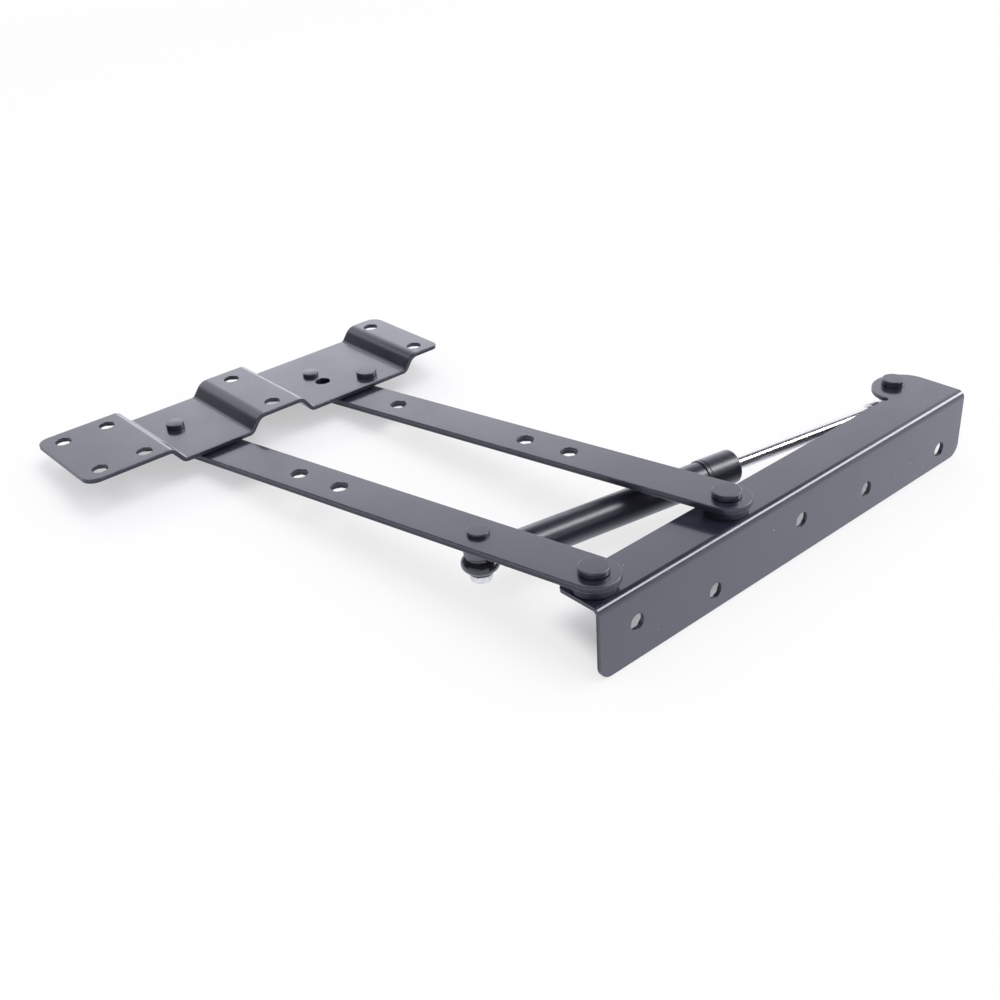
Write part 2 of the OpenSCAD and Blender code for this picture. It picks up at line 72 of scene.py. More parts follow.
def camera_axes(azimuth, elevation, roll):
    """The camera's right, up and back directions."""
    back = Vector((
        math.sin(azimuth) * math.cos(elevation),
        -math.cos(azimuth) * math.cos(elevation),
        math.sin(elevation),
    ))
    level = Vector((math.cos(azimuth), math.sin(azimuth), 0))
    upright = back.cross(level)
    right = math.cos(roll) * level + math.sin(roll) * upright
    up = -math.sin(roll) * level + math.cos(roll) * upright
    return right, up, back


def added(name, data):
    """A new object of some data, in the scene."""
    made = bpy.data.objects.new(name, data)
    bpy.context.scene.collection.objects.link(made)
    return made


right, up, back = camera_axes(CAMERA_AZIMUTH, CAMERA_ELEVATION, CAMERA_ROLL)
camera = added("camera", bpy.data.cameras.new("camera"))
camera.matrix_world = Matrix((right, up, back)).transposed().to_4x4()
camera.location = CAMERA_TARGET + CAMERA_DISTANCE * back
camera.data.sensor_width = CAMERA_SENSOR
camera.data.lens = CAMERA_LENS
camera.data.clip_start = CAMERA_CLIP
bpy.context.scene.camera = camera
print("camera at", [round(v, 4) for v in camera.location])

# %% [markdown]
# Sheet steel parts are cut flat, with their holes, and then bent. This script does the same. The
# rim of a blank or a hole is rounded by a few rings that step in and down, so that the edges catch
# light as deburred and painted edges do. A press shears the sheet in two zones, a smooth one and a
# rough one a little further in, so the wall has a small ledge.

# %% Sheared rims
MM = 0.001
EDGE_STEPS = 3
SMOOTH_SHARE = 0.1
SHEAR_STEP = 0.06
HOLE_STEPS = 56


def arc(centre, radius, start_deg, end_deg, steps):
    """Points of an arc in mm, both ends included."""
    angles = np.radians(np.linspace(start_deg, end_deg, steps + 1))
    return [(centre[0] + radius * math.cos(a), centre[1] + radius * math.sin(a)) for a in angles]


def hole_loop(x, y, diameter):
    """A hole as a clockwise loop, so that the steel is on its left."""
    return arc((x, y), diameter / 2, 0, -360, HOLE_STEPS)[:-1]


def inset(loop, depth):
    """The loop moved to its left by depth, with mitred corners."""
    points = np.array(loop)
    before = points - np.roll(points, 1, axis=0)
    after = np.roll(points, -1, axis=0) - points
    before /= np.linalg.norm(before, axis=1)[:, None]
    after /= np.linalg.norm(after, axis=1)[:, None]
    left = np.stack([-(before + after)[:, 1], (before + after)[:, 0]], axis=1)
    left /= np.linalg.norm(left, axis=1)[:, None]
    mitre = np.sum(left * np.stack([-after[:, 1], after[:, 0]], axis=1), axis=1)
    return points + left * (depth / mitre)[:, None]


def rim_steps(thickness, edge_r):
    """How far in and how high each ring of the rim lies, from the top face to the bottom face."""
    half = thickness / 2
    angles = np.linspace(math.pi / 2, 0, EDGE_STEPS + 1)
    upper = [(edge_r * (1 - math.cos(a)), half - edge_r * (1 - math.sin(a))) for a in angles]
    ledge = SMOOTH_SHARE * thickness
    lower = [(SHEAR_STEP + depth, -height) for depth, height in reversed(upper)]
    return upper + [(0, ledge), (SHEAR_STEP, ledge - SHEAR_STEP)] + lower


print("a rim in", len(rim_steps(2, 0.3)), "rings")

# %% [markdown]
# A flat blank is an outline with circular holes. The smooth zone, the ledge and the torn zone of
# its walls each have their own share of the mark cut, by which the finish finds them. The top and
# the bottom are filled by a triangulation that keeps to the rims, because one polygon can't have
# holes in it.

# %% Flat blanks
CUT_MARKS = (0.55, 0.3, 1.0)
FILL_ACCURACY = 1e-6


def fill_face(bm, rings, holes, order):
    """Fills between the rings, but not the holes. order is 1 for the top and -1 for the bottom."""
    verts = [vert for ring in rings for vert in ring]
    edges, first = [], 0
    for ring in rings:
        count = len(ring)
        edges += [(first + i, first + (i + 1) % count) for i in range(count)]
        first += count
    flat = [Vector(vert.co[:2]) for vert in verts]
    filled = geometry.delaunay_2d_cdt(flat, edges, [], 1, FILL_ACCURACY)
    points, _, triangles, sources = filled[:4]
    for triangle in triangles:
        middle = sum((points[i] for i in triangle), Vector((0, 0))) / 3
        if any((middle - Vector((x, y))).length < diameter / 2 for x, y, diameter in holes):
            continue
        bm.faces.new([verts[sources[i][0]] for i in triangle][::order])


def flat_blank(outline, holes, thickness, edge_r):
    """A bmesh of a flat sheet in mm, centred on z = 0, with a rounded rim and rounded holes."""
    bm = bmesh.new()
    cut_mark = bm.faces.layers.float.new("cut")
    marks = [0] * EDGE_STEPS + list(CUT_MARKS) + [0] * EDGE_STEPS
    top_rings, bottom_rings = [], []
    for loop in [outline] + [hole_loop(*hole) for hole in holes]:
        rings = []
        for depth, height in rim_steps(thickness, edge_r):
            rings.append([bm.verts.new((x, y, height)) for x, y in inset(loop, depth)])
        for upper, lower, mark in zip(rings, rings[1:], marks):
            for i in range(len(loop)):
                j = (i + 1) % len(loop)
                bm.faces.new((upper[i], lower[i], lower[j], upper[j]))[cut_mark] = mark
        top_rings.append(rings[0])
        bottom_rings.append(rings[-1])
    fill_face(bm, top_rings, holes, 1)
    fill_face(bm, bottom_rings, holes, -1)
    return bm


print("smooth zone, ledge and torn zone are marked", CUT_MARKS)

# %% [markdown]
# A press brake bends the sheet along straight lines. Here a bend follows the middle line of the
# sheet, because that line keeps its length, which gives the size of the flat blank. The path is a
# list of corners, each with a radius, as a drawing of the part would give it.

# %% The path of the bends
STRIPS_PER_BEND = 9


class BentPath:
    """The middle line of a bent sheet: straight runs joined by arcs, measured along its length."""

    def __init__(self, corners, radii):
        self.runs = []
        self.length = 0
        corners = [np.array(corner, float) for corner in corners]
        start = corners[0]
        for i in range(1, len(corners)):
            ahead = corners[i] - corners[i - 1]
            ahead /= np.linalg.norm(ahead)
            if i == len(corners) - 1:
                self.add_line(start, corners[i], ahead)
                break
            after = corners[i + 1] - corners[i]
            after /= np.linalg.norm(after)
            turn = math.atan2(ahead[0] * after[1] - ahead[1] * after[0], float(ahead @ after))
            radius = radii[i - 1]
            reach = radius * math.tan(abs(turn) / 2)
            self.add_line(start, corners[i] - reach * ahead, ahead)
            self.runs.append(("arc", self.length, corners[i] - reach * ahead, ahead, turn, radius))
            self.length += radius * abs(turn)
            start = corners[i] + reach * after

    def add_line(self, start, end, ahead):
        self.runs.append(("line", self.length, start, ahead, 0, 0))
        self.length += float(np.linalg.norm(end - start))

    def at(self, distance):
        """The point and the direction at a distance along the path."""
        kind, begun, start, ahead, turn, radius = [
            run for run in self.runs if run[1] <= distance + 1e-9 or run is self.runs[0]
        ][-1]
        along = distance - begun
        if kind == "line":
            return start + along * ahead, ahead
        angle = math.copysign(along / radius, turn)
        side = math.copysign(1, turn) * np.array((-ahead[1], ahead[0]))
        centre = start + radius * side
        point = centre - radius * (math.cos(angle) * side - abs(math.sin(angle)) * ahead)
        facing = math.cos(angle) * ahead + math.sin(angle) * np.array((-ahead[1], ahead[0]))
        return point, facing

    def along_run(self, index, offset):
        """The distance along the path of a place on straight run number index."""
        lines = [run for run in self.runs if run[0] == "line"]
        return lines[index][1] + offset

    def cuts(self):
        """Where the blank is cut into strips."""
        found = []
        for kind, begun, _, _, turn, radius in self.runs:
            if kind == "arc":
                found += list(begun + np.linspace(0, radius * abs(turn), STRIPS_PER_BEND + 1))
        return found


quarter = BentPath([(0, 0), (2, 0), (2, 2)], [2])
print("a quarter bend of radius 2 mm is", round(quarter.length, 2), "mm long")

# %% [markdown]
# The flat blank is cut into narrow strips where a bend will be, and each point is then carried
# along the bent middle line, so the thickness stays the same round every bend.

# %% Bending a blank
STRIP_ACCURACY = 1e-5


def bend(bm, path, axis):
    """Bends a flat blank, whose coordinate number axis runs along the path."""
    normal = Vector((1, 0, 0)) if axis == 0 else Vector((0, 1, 0))
    for cut in path.cuts():
        bmesh.ops.bisect_plane(
            bm, geom=bm.verts[:] + bm.edges[:] + bm.faces[:], dist=STRIP_ACCURACY,
            plane_co=normal * cut, plane_no=normal,
        )
    for vert in bm.verts:
        point, ahead = path.at(vert.co[axis])
        across = vert.co[1 - axis]
        u = point[0] - vert.co.z * ahead[1]
        v = point[1] + vert.co.z * ahead[0]
        vert.co = (u, across, v) if axis == 0 else (across, u, v)


print("each bend is cut into", STRIPS_PER_BEND, "strips")

# %% [markdown]
# Every made piece takes the place of one CAD node and rides on that node's body, so that the
# joints move it. Faces are shaded smooth with normals weighted by area: the large flats stay flat
# and only the rounded rims and the bends turn. The largest difference between the piece's box and
# the box of its node is printed, in mm, as a check on the sizes.

# %% Putting a piece in place
MERGE_DISTANCE = 1e-4
SHARP_TURN = math.radians(50)
FLAT_FACES_WEIGHT = 80
pieces = {}


def object_of(name, bm, matrix=Matrix.Identity(4)):
    """An object of a bmesh, with its points merged and its faces turned outwards."""
    bmesh.ops.remove_doubles(bm, verts=bm.verts[:], dist=MERGE_DISTANCE)
    bmesh.ops.recalc_face_normals(bm, faces=bm.faces[:])
    bm.transform(matrix)
    mesh = bpy.data.meshes.new(name)
    bm.to_mesh(mesh)
    bm.free()
    return added(name, mesh)


def put(name, bm, node, body, slot, matrix):
    """Makes a piece of a bmesh drawn in mm, in place of a CAD node."""
    piece = object_of(name, bm, Matrix.Scale(MM, 4) @ matrix)
    mesh = piece.data
    mesh.shade_smooth()
    mesh.set_sharp_from_angle(angle=SHARP_TURN)
    weighted = piece.modifiers.new("flat faces stay flat", "WEIGHTED_NORMAL")
    weighted.keep_sharp = True
    weighted.weight = FLAT_FACES_WEIGHT
    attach(piece, body)
    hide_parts(node)
    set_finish(piece, slot)
    pieces[name] = piece
    low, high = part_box(node)
    points = np.array([vert.co for vert in mesh.vertices])
    off = max(np.abs(points.min(0) - low).max(), np.abs(points.max(0) - high).max())
    print(f"{name}: {len(mesh.polygons)} faces, box off by {off / MM:.2f} mm")


def moved(x, y, z, turn_deg=0):
    """A place in mm, turned about the upright axis."""
    return Matrix.Translation((x, y, z)) @ Matrix.Rotation(math.radians(turn_deg), 4, "Z")


# %% [markdown]
# The base bracket is one angle of 2 mm sheet. Its mounting flange hangs down in front and has five
# staggered screw holes; its pivot flange lies flat and grows into a round ear for the gas spring.
# The blank is drawn unfolded, with the fold's own length between the two flanges.

# %% Base bracket
SHEET_T = 2
SHEET_EDGE_R = 0.3
BRACKET_NEAR, BRACKET_FAR = -119.5, 121.5
FLANGE_BOTTOM, FLANGE_TOP = -17.5, 15.5
BRACKET_W = 22.5
FOLD_MID_R = 2.5
FRONT_CORNER_R, BACK_CORNER_R = 6, 3
EAR_CENTRE, EAR_R = (106.5, BRACKET_W), 15
EAR_PIN = (106.5, 28.9)
NOTCH_CENTRE, NOTCH_R = (90.75, BRACKET_W), 1.5
NEAR_BASE, FAR_BASE = (-110, 12), (-35, 12)
FLANGE_HOLES = [(-99.5, 0), (-54.5, -8.5), (0, 0), (46.5, -5), (104.5, -8.5)]
SCREW_D, BRACKET_BORE, EAR_BORE = 7, 8.1, 6.1
FRONT_STEPS, BACK_STEPS, EAR_STEPS, NOTCH_STEPS = 10, 8, 72, 24

half_t = SHEET_T / 2
mid_z = FLANGE_TOP - half_t
bracket_path = BentPath(
    [(half_t, FLANGE_BOTTOM), (half_t, mid_z), (BRACKET_W + EAR_R, mid_z)], [FOLD_MID_R])
pivot_flange = bracket_path.along_run(1, -half_t - FOLD_MID_R)


def unfolded(x, y):
    """A point of the pivot flange on the blank."""
    return (x, pivot_flange + y)


def bracket_outline():
    """The unfolded bracket, counter-clockwise from the lower near corner."""
    apart = EAR_CENTRE[0] - NOTCH_CENTRE[0]
    from_ear = (apart ** 2 + EAR_R ** 2 - NOTCH_R ** 2) / (2 * apart)
    aside = math.sqrt(EAR_R ** 2 - from_ear ** 2)
    ear_end = math.degrees(math.atan2(aside, -from_ear))
    notch_start = math.degrees(math.atan2(aside, apart - from_ear))
    front_r, back_r = FRONT_CORNER_R, BACK_CORNER_R
    points = arc((BRACKET_NEAR + front_r, front_r), front_r, 180, 270, FRONT_STEPS)
    points += arc((BRACKET_FAR - front_r, front_r), front_r, 270, 360, FRONT_STEPS)
    points += arc(unfolded(*EAR_CENTRE), EAR_R, 0, ear_end, EAR_STEPS)
    points += arc(unfolded(*NOTCH_CENTRE), NOTCH_R, notch_start, -180, NOTCH_STEPS)[1:]
    back_corner = unfolded(BRACKET_NEAR + back_r, BRACKET_W - back_r)
    points += arc(back_corner, back_r, 90, 180, BACK_STEPS)
    return points


bracket_holes = [(x, z - FLANGE_BOTTOM, SCREW_D) for x, z in FLANGE_HOLES]
for spot, bore in ((NEAR_BASE, BRACKET_BORE), (FAR_BASE, BRACKET_BORE), (EAR_PIN, EAR_BORE)):
    bracket_holes.append((*unfolded(*spot), bore))
bracket = flat_blank(bracket_outline(), bracket_holes, SHEET_T, SHEET_EDGE_R)
bend(bracket, bracket_path, 1)
put("folded_bracket", bracket, "base_bracket", "base", "black_steel", moved(0, 0, 0))

# %% [markdown]
# The top plate is pressed from the same sheet into three raised pads and two low ones. The low
# pads sit on the arms and are riveted to them, and the raised ones carry the table top's screws.
# Two of the risers curve softly into their pads, because the press pushes them up in one stroke.

# %% Top plate
PLATE_LEFT, PLATE_RIGHT = -218.064, -29.064
PLATE_FRONT, PLATE_BACK = 202.182, 255.682
LOW_MID_Z, HIGH_MID_Z = 24.1, 30.6
RISERS = [-175.564, -136.064, -108.064, -48.064]
RISER_HALF = 2.5
TIGHT_R, SOFT_R = 3, 6
CORNER_R, LAST_CORNER_R = 6, 3.5
CORNER_STEPS = 10
NEAR_TOP, FAR_TOP = (-161.064, 233.182), (-86.064, 233.182)
STOP_AT = (-67.234, 212.077)
SPARE_HOLE = (-86.064, 222.682)
PLATE_SCREWS_X, PLATE_SCREWS_Y = (-208.564, -187.564, -122.064, -38.564), (210.182, 246.682)
NEAR_TOP_BORE, FAR_TOP_BORE = 6.1, 5.1

plate_corners = [(PLATE_LEFT, HIGH_MID_Z)]
for i, middle in enumerate(RISERS):
    heights = (HIGH_MID_Z, LOW_MID_Z) if i % 2 == 0 else (LOW_MID_Z, HIGH_MID_Z)
    plate_corners += [(middle - RISER_HALF, heights[0]), (middle + RISER_HALF, heights[1])]
plate_corners.append((PLATE_RIGHT, HIGH_MID_Z))
plate_path = BentPath(plate_corners, [TIGHT_R, TIGHT_R, TIGHT_R, SOFT_R] * 2)
pads = [run for run in plate_path.runs if run[0] == "line" and abs(run[3][1]) < 1e-9]


def plate_hole(x, y, diameter):
    """A hole in the pressed plate, carried back to the flat blank."""
    pad = [run for run in pads if run[2][0] <= x][-1]
    return (pad[1] + x - pad[2][0], y, diameter)


def plate_outline():
    """The flat blank of the top plate, counter-clockwise."""
    left, right = 0, plate_path.length
    points = []
    for x, y, r, inward_x, inward_y, start in (
        (left, PLATE_FRONT, CORNER_R, 1, 1, 180),
        (right, PLATE_FRONT, LAST_CORNER_R, -1, 1, 270),
        (right, PLATE_BACK, CORNER_R, -1, -1, 0),
        (left, PLATE_BACK, CORNER_R, 1, -1, 90),
    ):
        points += arc((x + inward_x * r, y + inward_y * r), r, start, start + 90, CORNER_STEPS)
    return points


plate_holes = [plate_hole(x, y, SCREW_D) for x in PLATE_SCREWS_X for y in PLATE_SCREWS_Y]
plate_holes += [plate_hole(*SPARE_HOLE, SCREW_D), plate_hole(*NEAR_TOP, NEAR_TOP_BORE)]
plate_holes += [plate_hole(*spot, FAR_TOP_BORE) for spot in (FAR_TOP, STOP_AT)]
plate = flat_blank(plate_outline(), plate_holes, SHEET_T, SHEET_EDGE_R)
bend(plate, plate_path, 0)
put("pressed_top_plate", plate, "top_plate", "top_plate", "black_steel", moved(0, 0, 0))

# %% [markdown]
# The two arms are equal flat bars, 3 mm thick, with round ends and a few spare holes. They are cut
# from the same kind of blank but never bent, so they are drawn along X and turned into place.

# %% Arms
ARM_L, ARM_W, ARM_T = 227, 21, 3
ARM_EDGE_R = 0.4
ARM_END_STEPS = 36
ARM_MID_Z = 20.8
RAISED_DEG = 103
ARM_BASE_BORE, NEAR_ARM_BORE, FAR_ARM_BORE = 8.16, 6.16, 5.16
STUD_ALONG, STUD_BORE = 53, 6.1
SPARE_D = 7.5
NEAR_SPARES, FAR_SPARES = (126, 149), (75, 98, 171)


def arm_bar(holes):
    """A flat bar from its base pivot at the origin to its plate pivot on +X."""
    outline = arc((ARM_L, 0), ARM_W / 2, -90, 90, ARM_END_STEPS)
    outline += arc((0, 0), ARM_W / 2, 90, 270, ARM_END_STEPS)
    return flat_blank(outline, [(x, 0, diameter) for x, diameter in holes], ARM_T, ARM_EDGE_R)


near_holes = [(0, ARM_BASE_BORE), (STUD_ALONG, STUD_BORE)] + [(x, SPARE_D) for x in NEAR_SPARES]
far_holes = [(0, ARM_BASE_BORE)] + [(x, SPARE_D) for x in FAR_SPARES]
for name, holes, top_bore, spot in (
    ("near_arm", near_holes, NEAR_ARM_BORE, NEAR_BASE),
    ("far_arm", far_holes, FAR_ARM_BORE, FAR_BASE),
):
    bar = arm_bar(holes + [(ARM_L, top_bore)])
    put(name + "_bar", bar, name, name, "black_steel", moved(*spot, ARM_MID_Z, RAISED_DEG))

# %% [markdown]
# Rivets, washers, spacers and the gas spring are round parts, whose shape is a profile of radii
# and heights. No real corner is sharp, so each corner of a profile can have its own small radius,
# written beside it as on a drawing.

# %% Rounded profiles
FILLET_STEPS = 4


def filleted(points, radii):
    """A profile whose corners are rounded. Each corner has its own radius, 0 for a sharp one."""
    made = []
    for i, (point, radius) in enumerate(zip(points, radii)):
        corner = np.array(point, float)
        if radius == 0:
            made.append(tuple(corner))
            continue
        before = np.array(points[i - 1], float) - corner
        after = np.array(points[(i + 1) % len(points)], float) - corner
        before /= np.linalg.norm(before)
        after /= np.linalg.norm(after)
        half = math.acos(max(-1, min(1, float(before @ after)))) / 2
        middle = (before + after) / np.linalg.norm(before + after)
        centre = corner + middle * radius / math.sin(half)
        start = corner + before * radius / math.tan(half) - centre
        end = corner + after * radius / math.tan(half) - centre
        sweep = math.acos(max(-1, min(1, float(start @ end) / radius ** 2)))
        for k in range(FILLET_STEPS + 1):
            share = k / FILLET_STEPS
            spoke = (math.sin((1 - share) * sweep) * start + math.sin(share * sweep) * end)
            made.append(tuple(centre + spoke / math.sin(sweep)))
    return made


print("a rounded corner has", FILLET_STEPS + 1, "points")

# %% [markdown]
# A lathe makes the round parts: the profile is turned about the upright axis. The profile may
# change with the angle, which makes the same few lines good for a hexagon nut and for a real screw
# thread.

# %% Turning
TURN_STEPS = 96


def turned(profile, ring=False, steps=TURN_STEPS):
    """A bmesh turned about Z. profile is (radius, height) points, or gives them for an angle."""
    bm = bmesh.new()
    rows = []
    for i in range(steps):
        angle = 2 * math.pi * i / steps
        points = profile(angle) if callable(profile) else profile
        x, y = math.cos(angle), math.sin(angle)
        rows.append([bm.verts.new((r * x, r * y, z)) for r, z in points])
    count = len(rows[0])
    for i in range(steps):
        this, following = rows[i], rows[(i + 1) % steps]
        for k in range(count if ring else count - 1):
            n = (k + 1) % count
            bm.faces.new((this[k], following[k], following[n], this[n]))
    return bm


def joined(*meshes):
    """Several bmeshes as one."""
    whole = bmesh.new()
    for part in meshes:
        held = bpy.data.meshes.new("held")
        part.to_mesh(held)
        part.free()
        whole.from_mesh(held)
        bpy.data.meshes.remove(held)
    return whole


def ring_profile(outer_d, inner_d, low, high, edge_r):
    """A washer or spacer with rounded edges."""
    points = [(inner_d / 2, low), (outer_d / 2, low), (outer_d / 2, high), (inner_d / 2, high)]
    return filleted(points, [edge_r / 2, edge_r, edge_r, edge_r / 2])


print("round parts have", TURN_STEPS, "sides")

# %% [markdown]
# A rivet has a flat head with a rounded edge and, on the far side, a foot that a rotating tool has
# spun over the sheet. The spinning leaves the foot slightly domed with a shallow dimple, which is
# drawn here because it shows when the mechanism is turned over.

# %% Rivets and pins
BASE_RIVET = ((12.2, 8, 11), (12, 13.5, 22.6, 25.1))
RIVETS = (
    # name, body, place, diameters of head, shank and foot, heights from foot to head
    ("near_base", "base", NEAR_BASE, *BASE_RIVET),
    ("far_base", "base", FAR_BASE, *BASE_RIVET),
    ("near_plate", "top_plate", NEAR_TOP, (8.3, 6, 9), (17.5, 19, 25.1, 27.6)),
    ("far_plate", "top_plate", FAR_TOP, (7.6, 5, 8), (17.5, 19, 25.1, 26.8)),
)


def rivet(diameters, heights):
    """A rivet from its spun foot to its flat head."""
    head_r, shank_r, foot_r = [diameter / 2 for diameter in diameters]
    foot_low, foot_high, head_low, head_high = heights
    points = [
        (0, foot_low + 0.25), (0.44 * shank_r, foot_low + 0.2), (0.66 * foot_r, foot_low),
        (foot_r, foot_low + 0.45), (foot_r, foot_high), (shank_r, foot_high),
        (shank_r, head_low), (head_r, head_low), (head_r, head_high), (0, head_high),
    ]
    return turned(filleted(points, [0, 0, 0.6, 0.3, 0.2, 0, 0, 0.25, 0.45, 0]))


for name, body, spot, diameters, heights in RIVETS:
    put(name + "_rivet", rivet(diameters, heights), name + "_pivot", body,
        "black_rivet", moved(*spot, 0))

stop_points = [
    (0, 19.3), (3, 19.3), (3, 23.1), (2.5, 23.1), (2.5, 25.1), (5, 25.1), (5, 27.6), (0, 27.6),
]
put("stop_rivet", turned(filleted(stop_points, [0, 0.4, 0, 0, 0, 0.25, 0.45, 0])),
    "stop_pin", "top_plate", "black_rivet", moved(*STOP_AT, 0))
ear_points = [(0, 13.5), (3, 13.5), (3, 15.5), (5.3, 15.5), (5.3, 18.5), (0, 18.5)]
put("ear_rivet_head", turned(filleted(ear_points, [0, 0.3, 0, 0.25, 0.5, 0])),
    "ear_rivet", "base", "black_rivet", moved(*EAR_PIN, 0))

# %% [markdown]
# The arms turn on black nylon washers, thick ones on the bracket and thin ones under the top
# plate. They are plain rings with soft moulded edges.

# %% Washers
WASHERS = (
    # name, body, place, diameters, lower and upper face, radius of the edges
    ("near_base", "base", NEAR_BASE, (18, BRACKET_BORE, FLANGE_TOP, 19, 0.5)),
    ("far_base", "base", FAR_BASE, (18, BRACKET_BORE, FLANGE_TOP, 19, 0.5)),
    ("near_plate", "top_plate", NEAR_TOP, (14, NEAR_TOP_BORE, 22.6, 23.1, 0.15)),
    ("far_plate", "top_plate", FAR_TOP, (14, FAR_TOP_BORE, 22.6, 23.1, 0.15)),
)
for name, body, spot, sizes in WASHERS:
    put(name + "_ring", turned(ring_profile(*sizes), ring=True), name + "_washer", body,
        "black_plastic", moved(*spot, 0))

# %% [markdown]
# The studs of the gas spring end in a 5 mm thread with a zinc plated nut. The thread is a surface
# whose radius falls and rises once per pitch and moves up by one pitch per turn, which is what a
# real helix does. The nut is a profile too, whose outer radius follows the hexagon.

# %% Thread and nut
THREAD_PITCH = 0.8
THREAD_DEPTH = 0.42
THREAD_D, THREAD_STEPS = 5, 64
NUT_AF, NUT_H, NUT_BORE = 8, 3.2, 5.1
NUT_CHAMFER, BORE_CHAMFER = math.radians(30), 0.3
NUT_STEPS = 120


def thread(low, high):
    """A threaded end from z = low to z = high, chamfered at its low end."""
    outer_r = THREAD_D / 2
    levels = np.linspace(low, high, int((high - low) / THREAD_PITCH * 10) + 1)

    def profile_at(angle):
        points = [(0, low), (outer_r - THREAD_DEPTH - 0.25, low)]
        for z in levels:
            phase = (z / THREAD_PITCH - angle / (2 * math.pi)) % 1
            groove = THREAD_DEPTH * (1 - abs(2 * phase - 1))
            chamfer = max(0, 0.45 - (z - low))
            points.append((outer_r - max(groove, chamfer), z))
        return points + [(0, high)]

    return turned(profile_at, steps=THREAD_STEPS)


def nut(low):
    """A hexagon nut with its corners chamfered on both faces."""
    chamfer_r = NUT_AF / 2 - 0.1

    def profile_at(angle):
        corner_r = NUT_AF / 2 / math.cos((angle + math.pi / 6) % (math.pi / 3) - math.pi / 6)
        drop = (corner_r - chamfer_r) * math.tan(NUT_CHAMFER)
        bore_r, high = NUT_BORE / 2, low + NUT_H
        return [
            (bore_r, low + BORE_CHAMFER), (bore_r + BORE_CHAMFER, low), (chamfer_r, low),
            (corner_r, low + drop), (corner_r, high - drop), (chamfer_r, high),
            (bore_r + BORE_CHAMFER, high), (bore_r, high - BORE_CHAMFER),
        ]

    return turned(profile_at, ring=True, steps=NUT_STEPS)


print("thread of", THREAD_D, "mm with a pitch of", THREAD_PITCH, "mm")

# %% [markdown]
# The gas spring hangs from a stud in the near arm and from a second one under the ear. Above each
# eye a grey plastic spacer keeps the spring clear of the steel: the arm's has a groove near its
# top, and the ear's is a plain ring.

# %% Studs, spacers and nuts
STUD_AT = (-121.922, 63.642)
EAR_STACK_TOP = 12.03

stud_points = [(0, 4.1), (3, 4.1), (3, 22.3), (4.55, 22.3), (4.55, 23.9), (0, 23.9)]
stud = turned(filleted(stud_points, [0, 0, 0, 0.2, 0.35, 0]))
put("arm_stud", joined(stud, thread(0.1, 4.15)),
    "spring_stud", "near_arm", "black_rivet", moved(*STUD_AT, 0))
spacer_points = [
    (3.05, 13.3), (6.2, 13.3), (6.5, 13.6), (6.5, 17.7), (5.9, 18), (5.9, 18.7), (6.2, 19.3),
    (3.05, 19.3),
]
spacer = turned(filleted(spacer_points, [0, 0.2, 0.2, 0.3, 0.2, 0.2, 0.3, 0]), ring=True)
put("arm_stud_spacer", spacer, "stud_spacer", "near_arm", "grey_plastic", moved(*STUD_AT, 0))
put("arm_stud_nut", nut(0.9), "stud_nut", "near_arm", "zinc_steel", moved(*STUD_AT, 0))

ear_stud_points = [(0, 0.2), (3, 0.2), (3, EAR_STACK_TOP), (0, EAR_STACK_TOP)]
ear_stud = turned(filleted(ear_stud_points, [0, 0, 0.3, 0]))
put("ear_stud_pin", joined(ear_stud, thread(-3.8, 0.25)),
    "ear_stud", "gas_rod", "zinc_steel", moved(*EAR_PIN, 0))
put("ear_stud_spacer", turned(ring_profile(10, 6.1, 8.8, EAR_STACK_TOP, 0.35), ring=True),
    "ear_spacer", "gas_rod", "grey_plastic", moved(*EAR_PIN, 0))
put("ear_stud_nut", nut(-3), "ear_nut", "gas_rod", "zinc_steel", moved(*EAR_PIN, 0))

# %% [markdown]
# The gas spring is turned along its own axis, which runs from the arm's stud to the ear. The tube
# is rolled round at its closed end, its cap has a turned groove near one edge, and the ground rod
# runs out of the cap into the second eye.

# %% Gas tube, cap and rod
SPRING_Z, EAR_Z = 8.7, 4.5
SPRING_DEG = math.degrees(math.atan2(EAR_PIN[1] - STUD_AT[1], EAR_PIN[0] - STUD_AT[0]))
SPRING_RUN = math.hypot(EAR_PIN[1] - STUD_AT[1], EAR_PIN[0] - STUD_AT[0])
SPRING_L = math.hypot(SPRING_RUN, SPRING_Z - EAR_Z)
SPRING_FALL = math.atan2(SPRING_Z - EAR_Z, SPRING_RUN)
TUBE_START, TUBE_END = 12.8, 128.559
CAP_START, CAP_END = 112.559, 130.559
ROD_START, ROD_END = 106.559, 221.087
TUBE_R, TUBE_WALL = 7.25, 1
TUBE_END_R = 2.2
CAP_R, GROOVE_R, ROD_R = 7.75, 7.5, 3
ROD_STEPS = 128
fallen = Matrix.Rotation(math.pi / 2 + SPRING_FALL, 4, "Y")
along_spring = moved(*STUD_AT, SPRING_Z, SPRING_DEG) @ fallen

bore_r = TUBE_R - TUBE_WALL
tube_points = [
    (0, TUBE_START), (TUBE_R, TUBE_START), (TUBE_R, TUBE_END), (bore_r, TUBE_END),
    (bore_r, TUBE_START + TUBE_WALL), (0, TUBE_START + TUBE_WALL),
]
put("gas_tube_body", turned(filleted(tube_points, [0, TUBE_END_R, 0.2, 0.2, TUBE_WALL, 0])),
    "spring_tube", "gas_tube", "gloss_tube", along_spring)
cap_inner_r, rod_gap_r = TUBE_R + 0.05, ROD_R + 0.3
cap_points = [
    (cap_inner_r, CAP_START), (CAP_R, CAP_START), (CAP_R, CAP_START + 1.3),
    (GROOVE_R, CAP_START + 1.45), (GROOVE_R, CAP_START + 1.9), (CAP_R, CAP_START + 2.05),
    (CAP_R, CAP_END), (rod_gap_r, CAP_END), (rod_gap_r, CAP_END - 2), (cap_inner_r, CAP_END - 2),
]
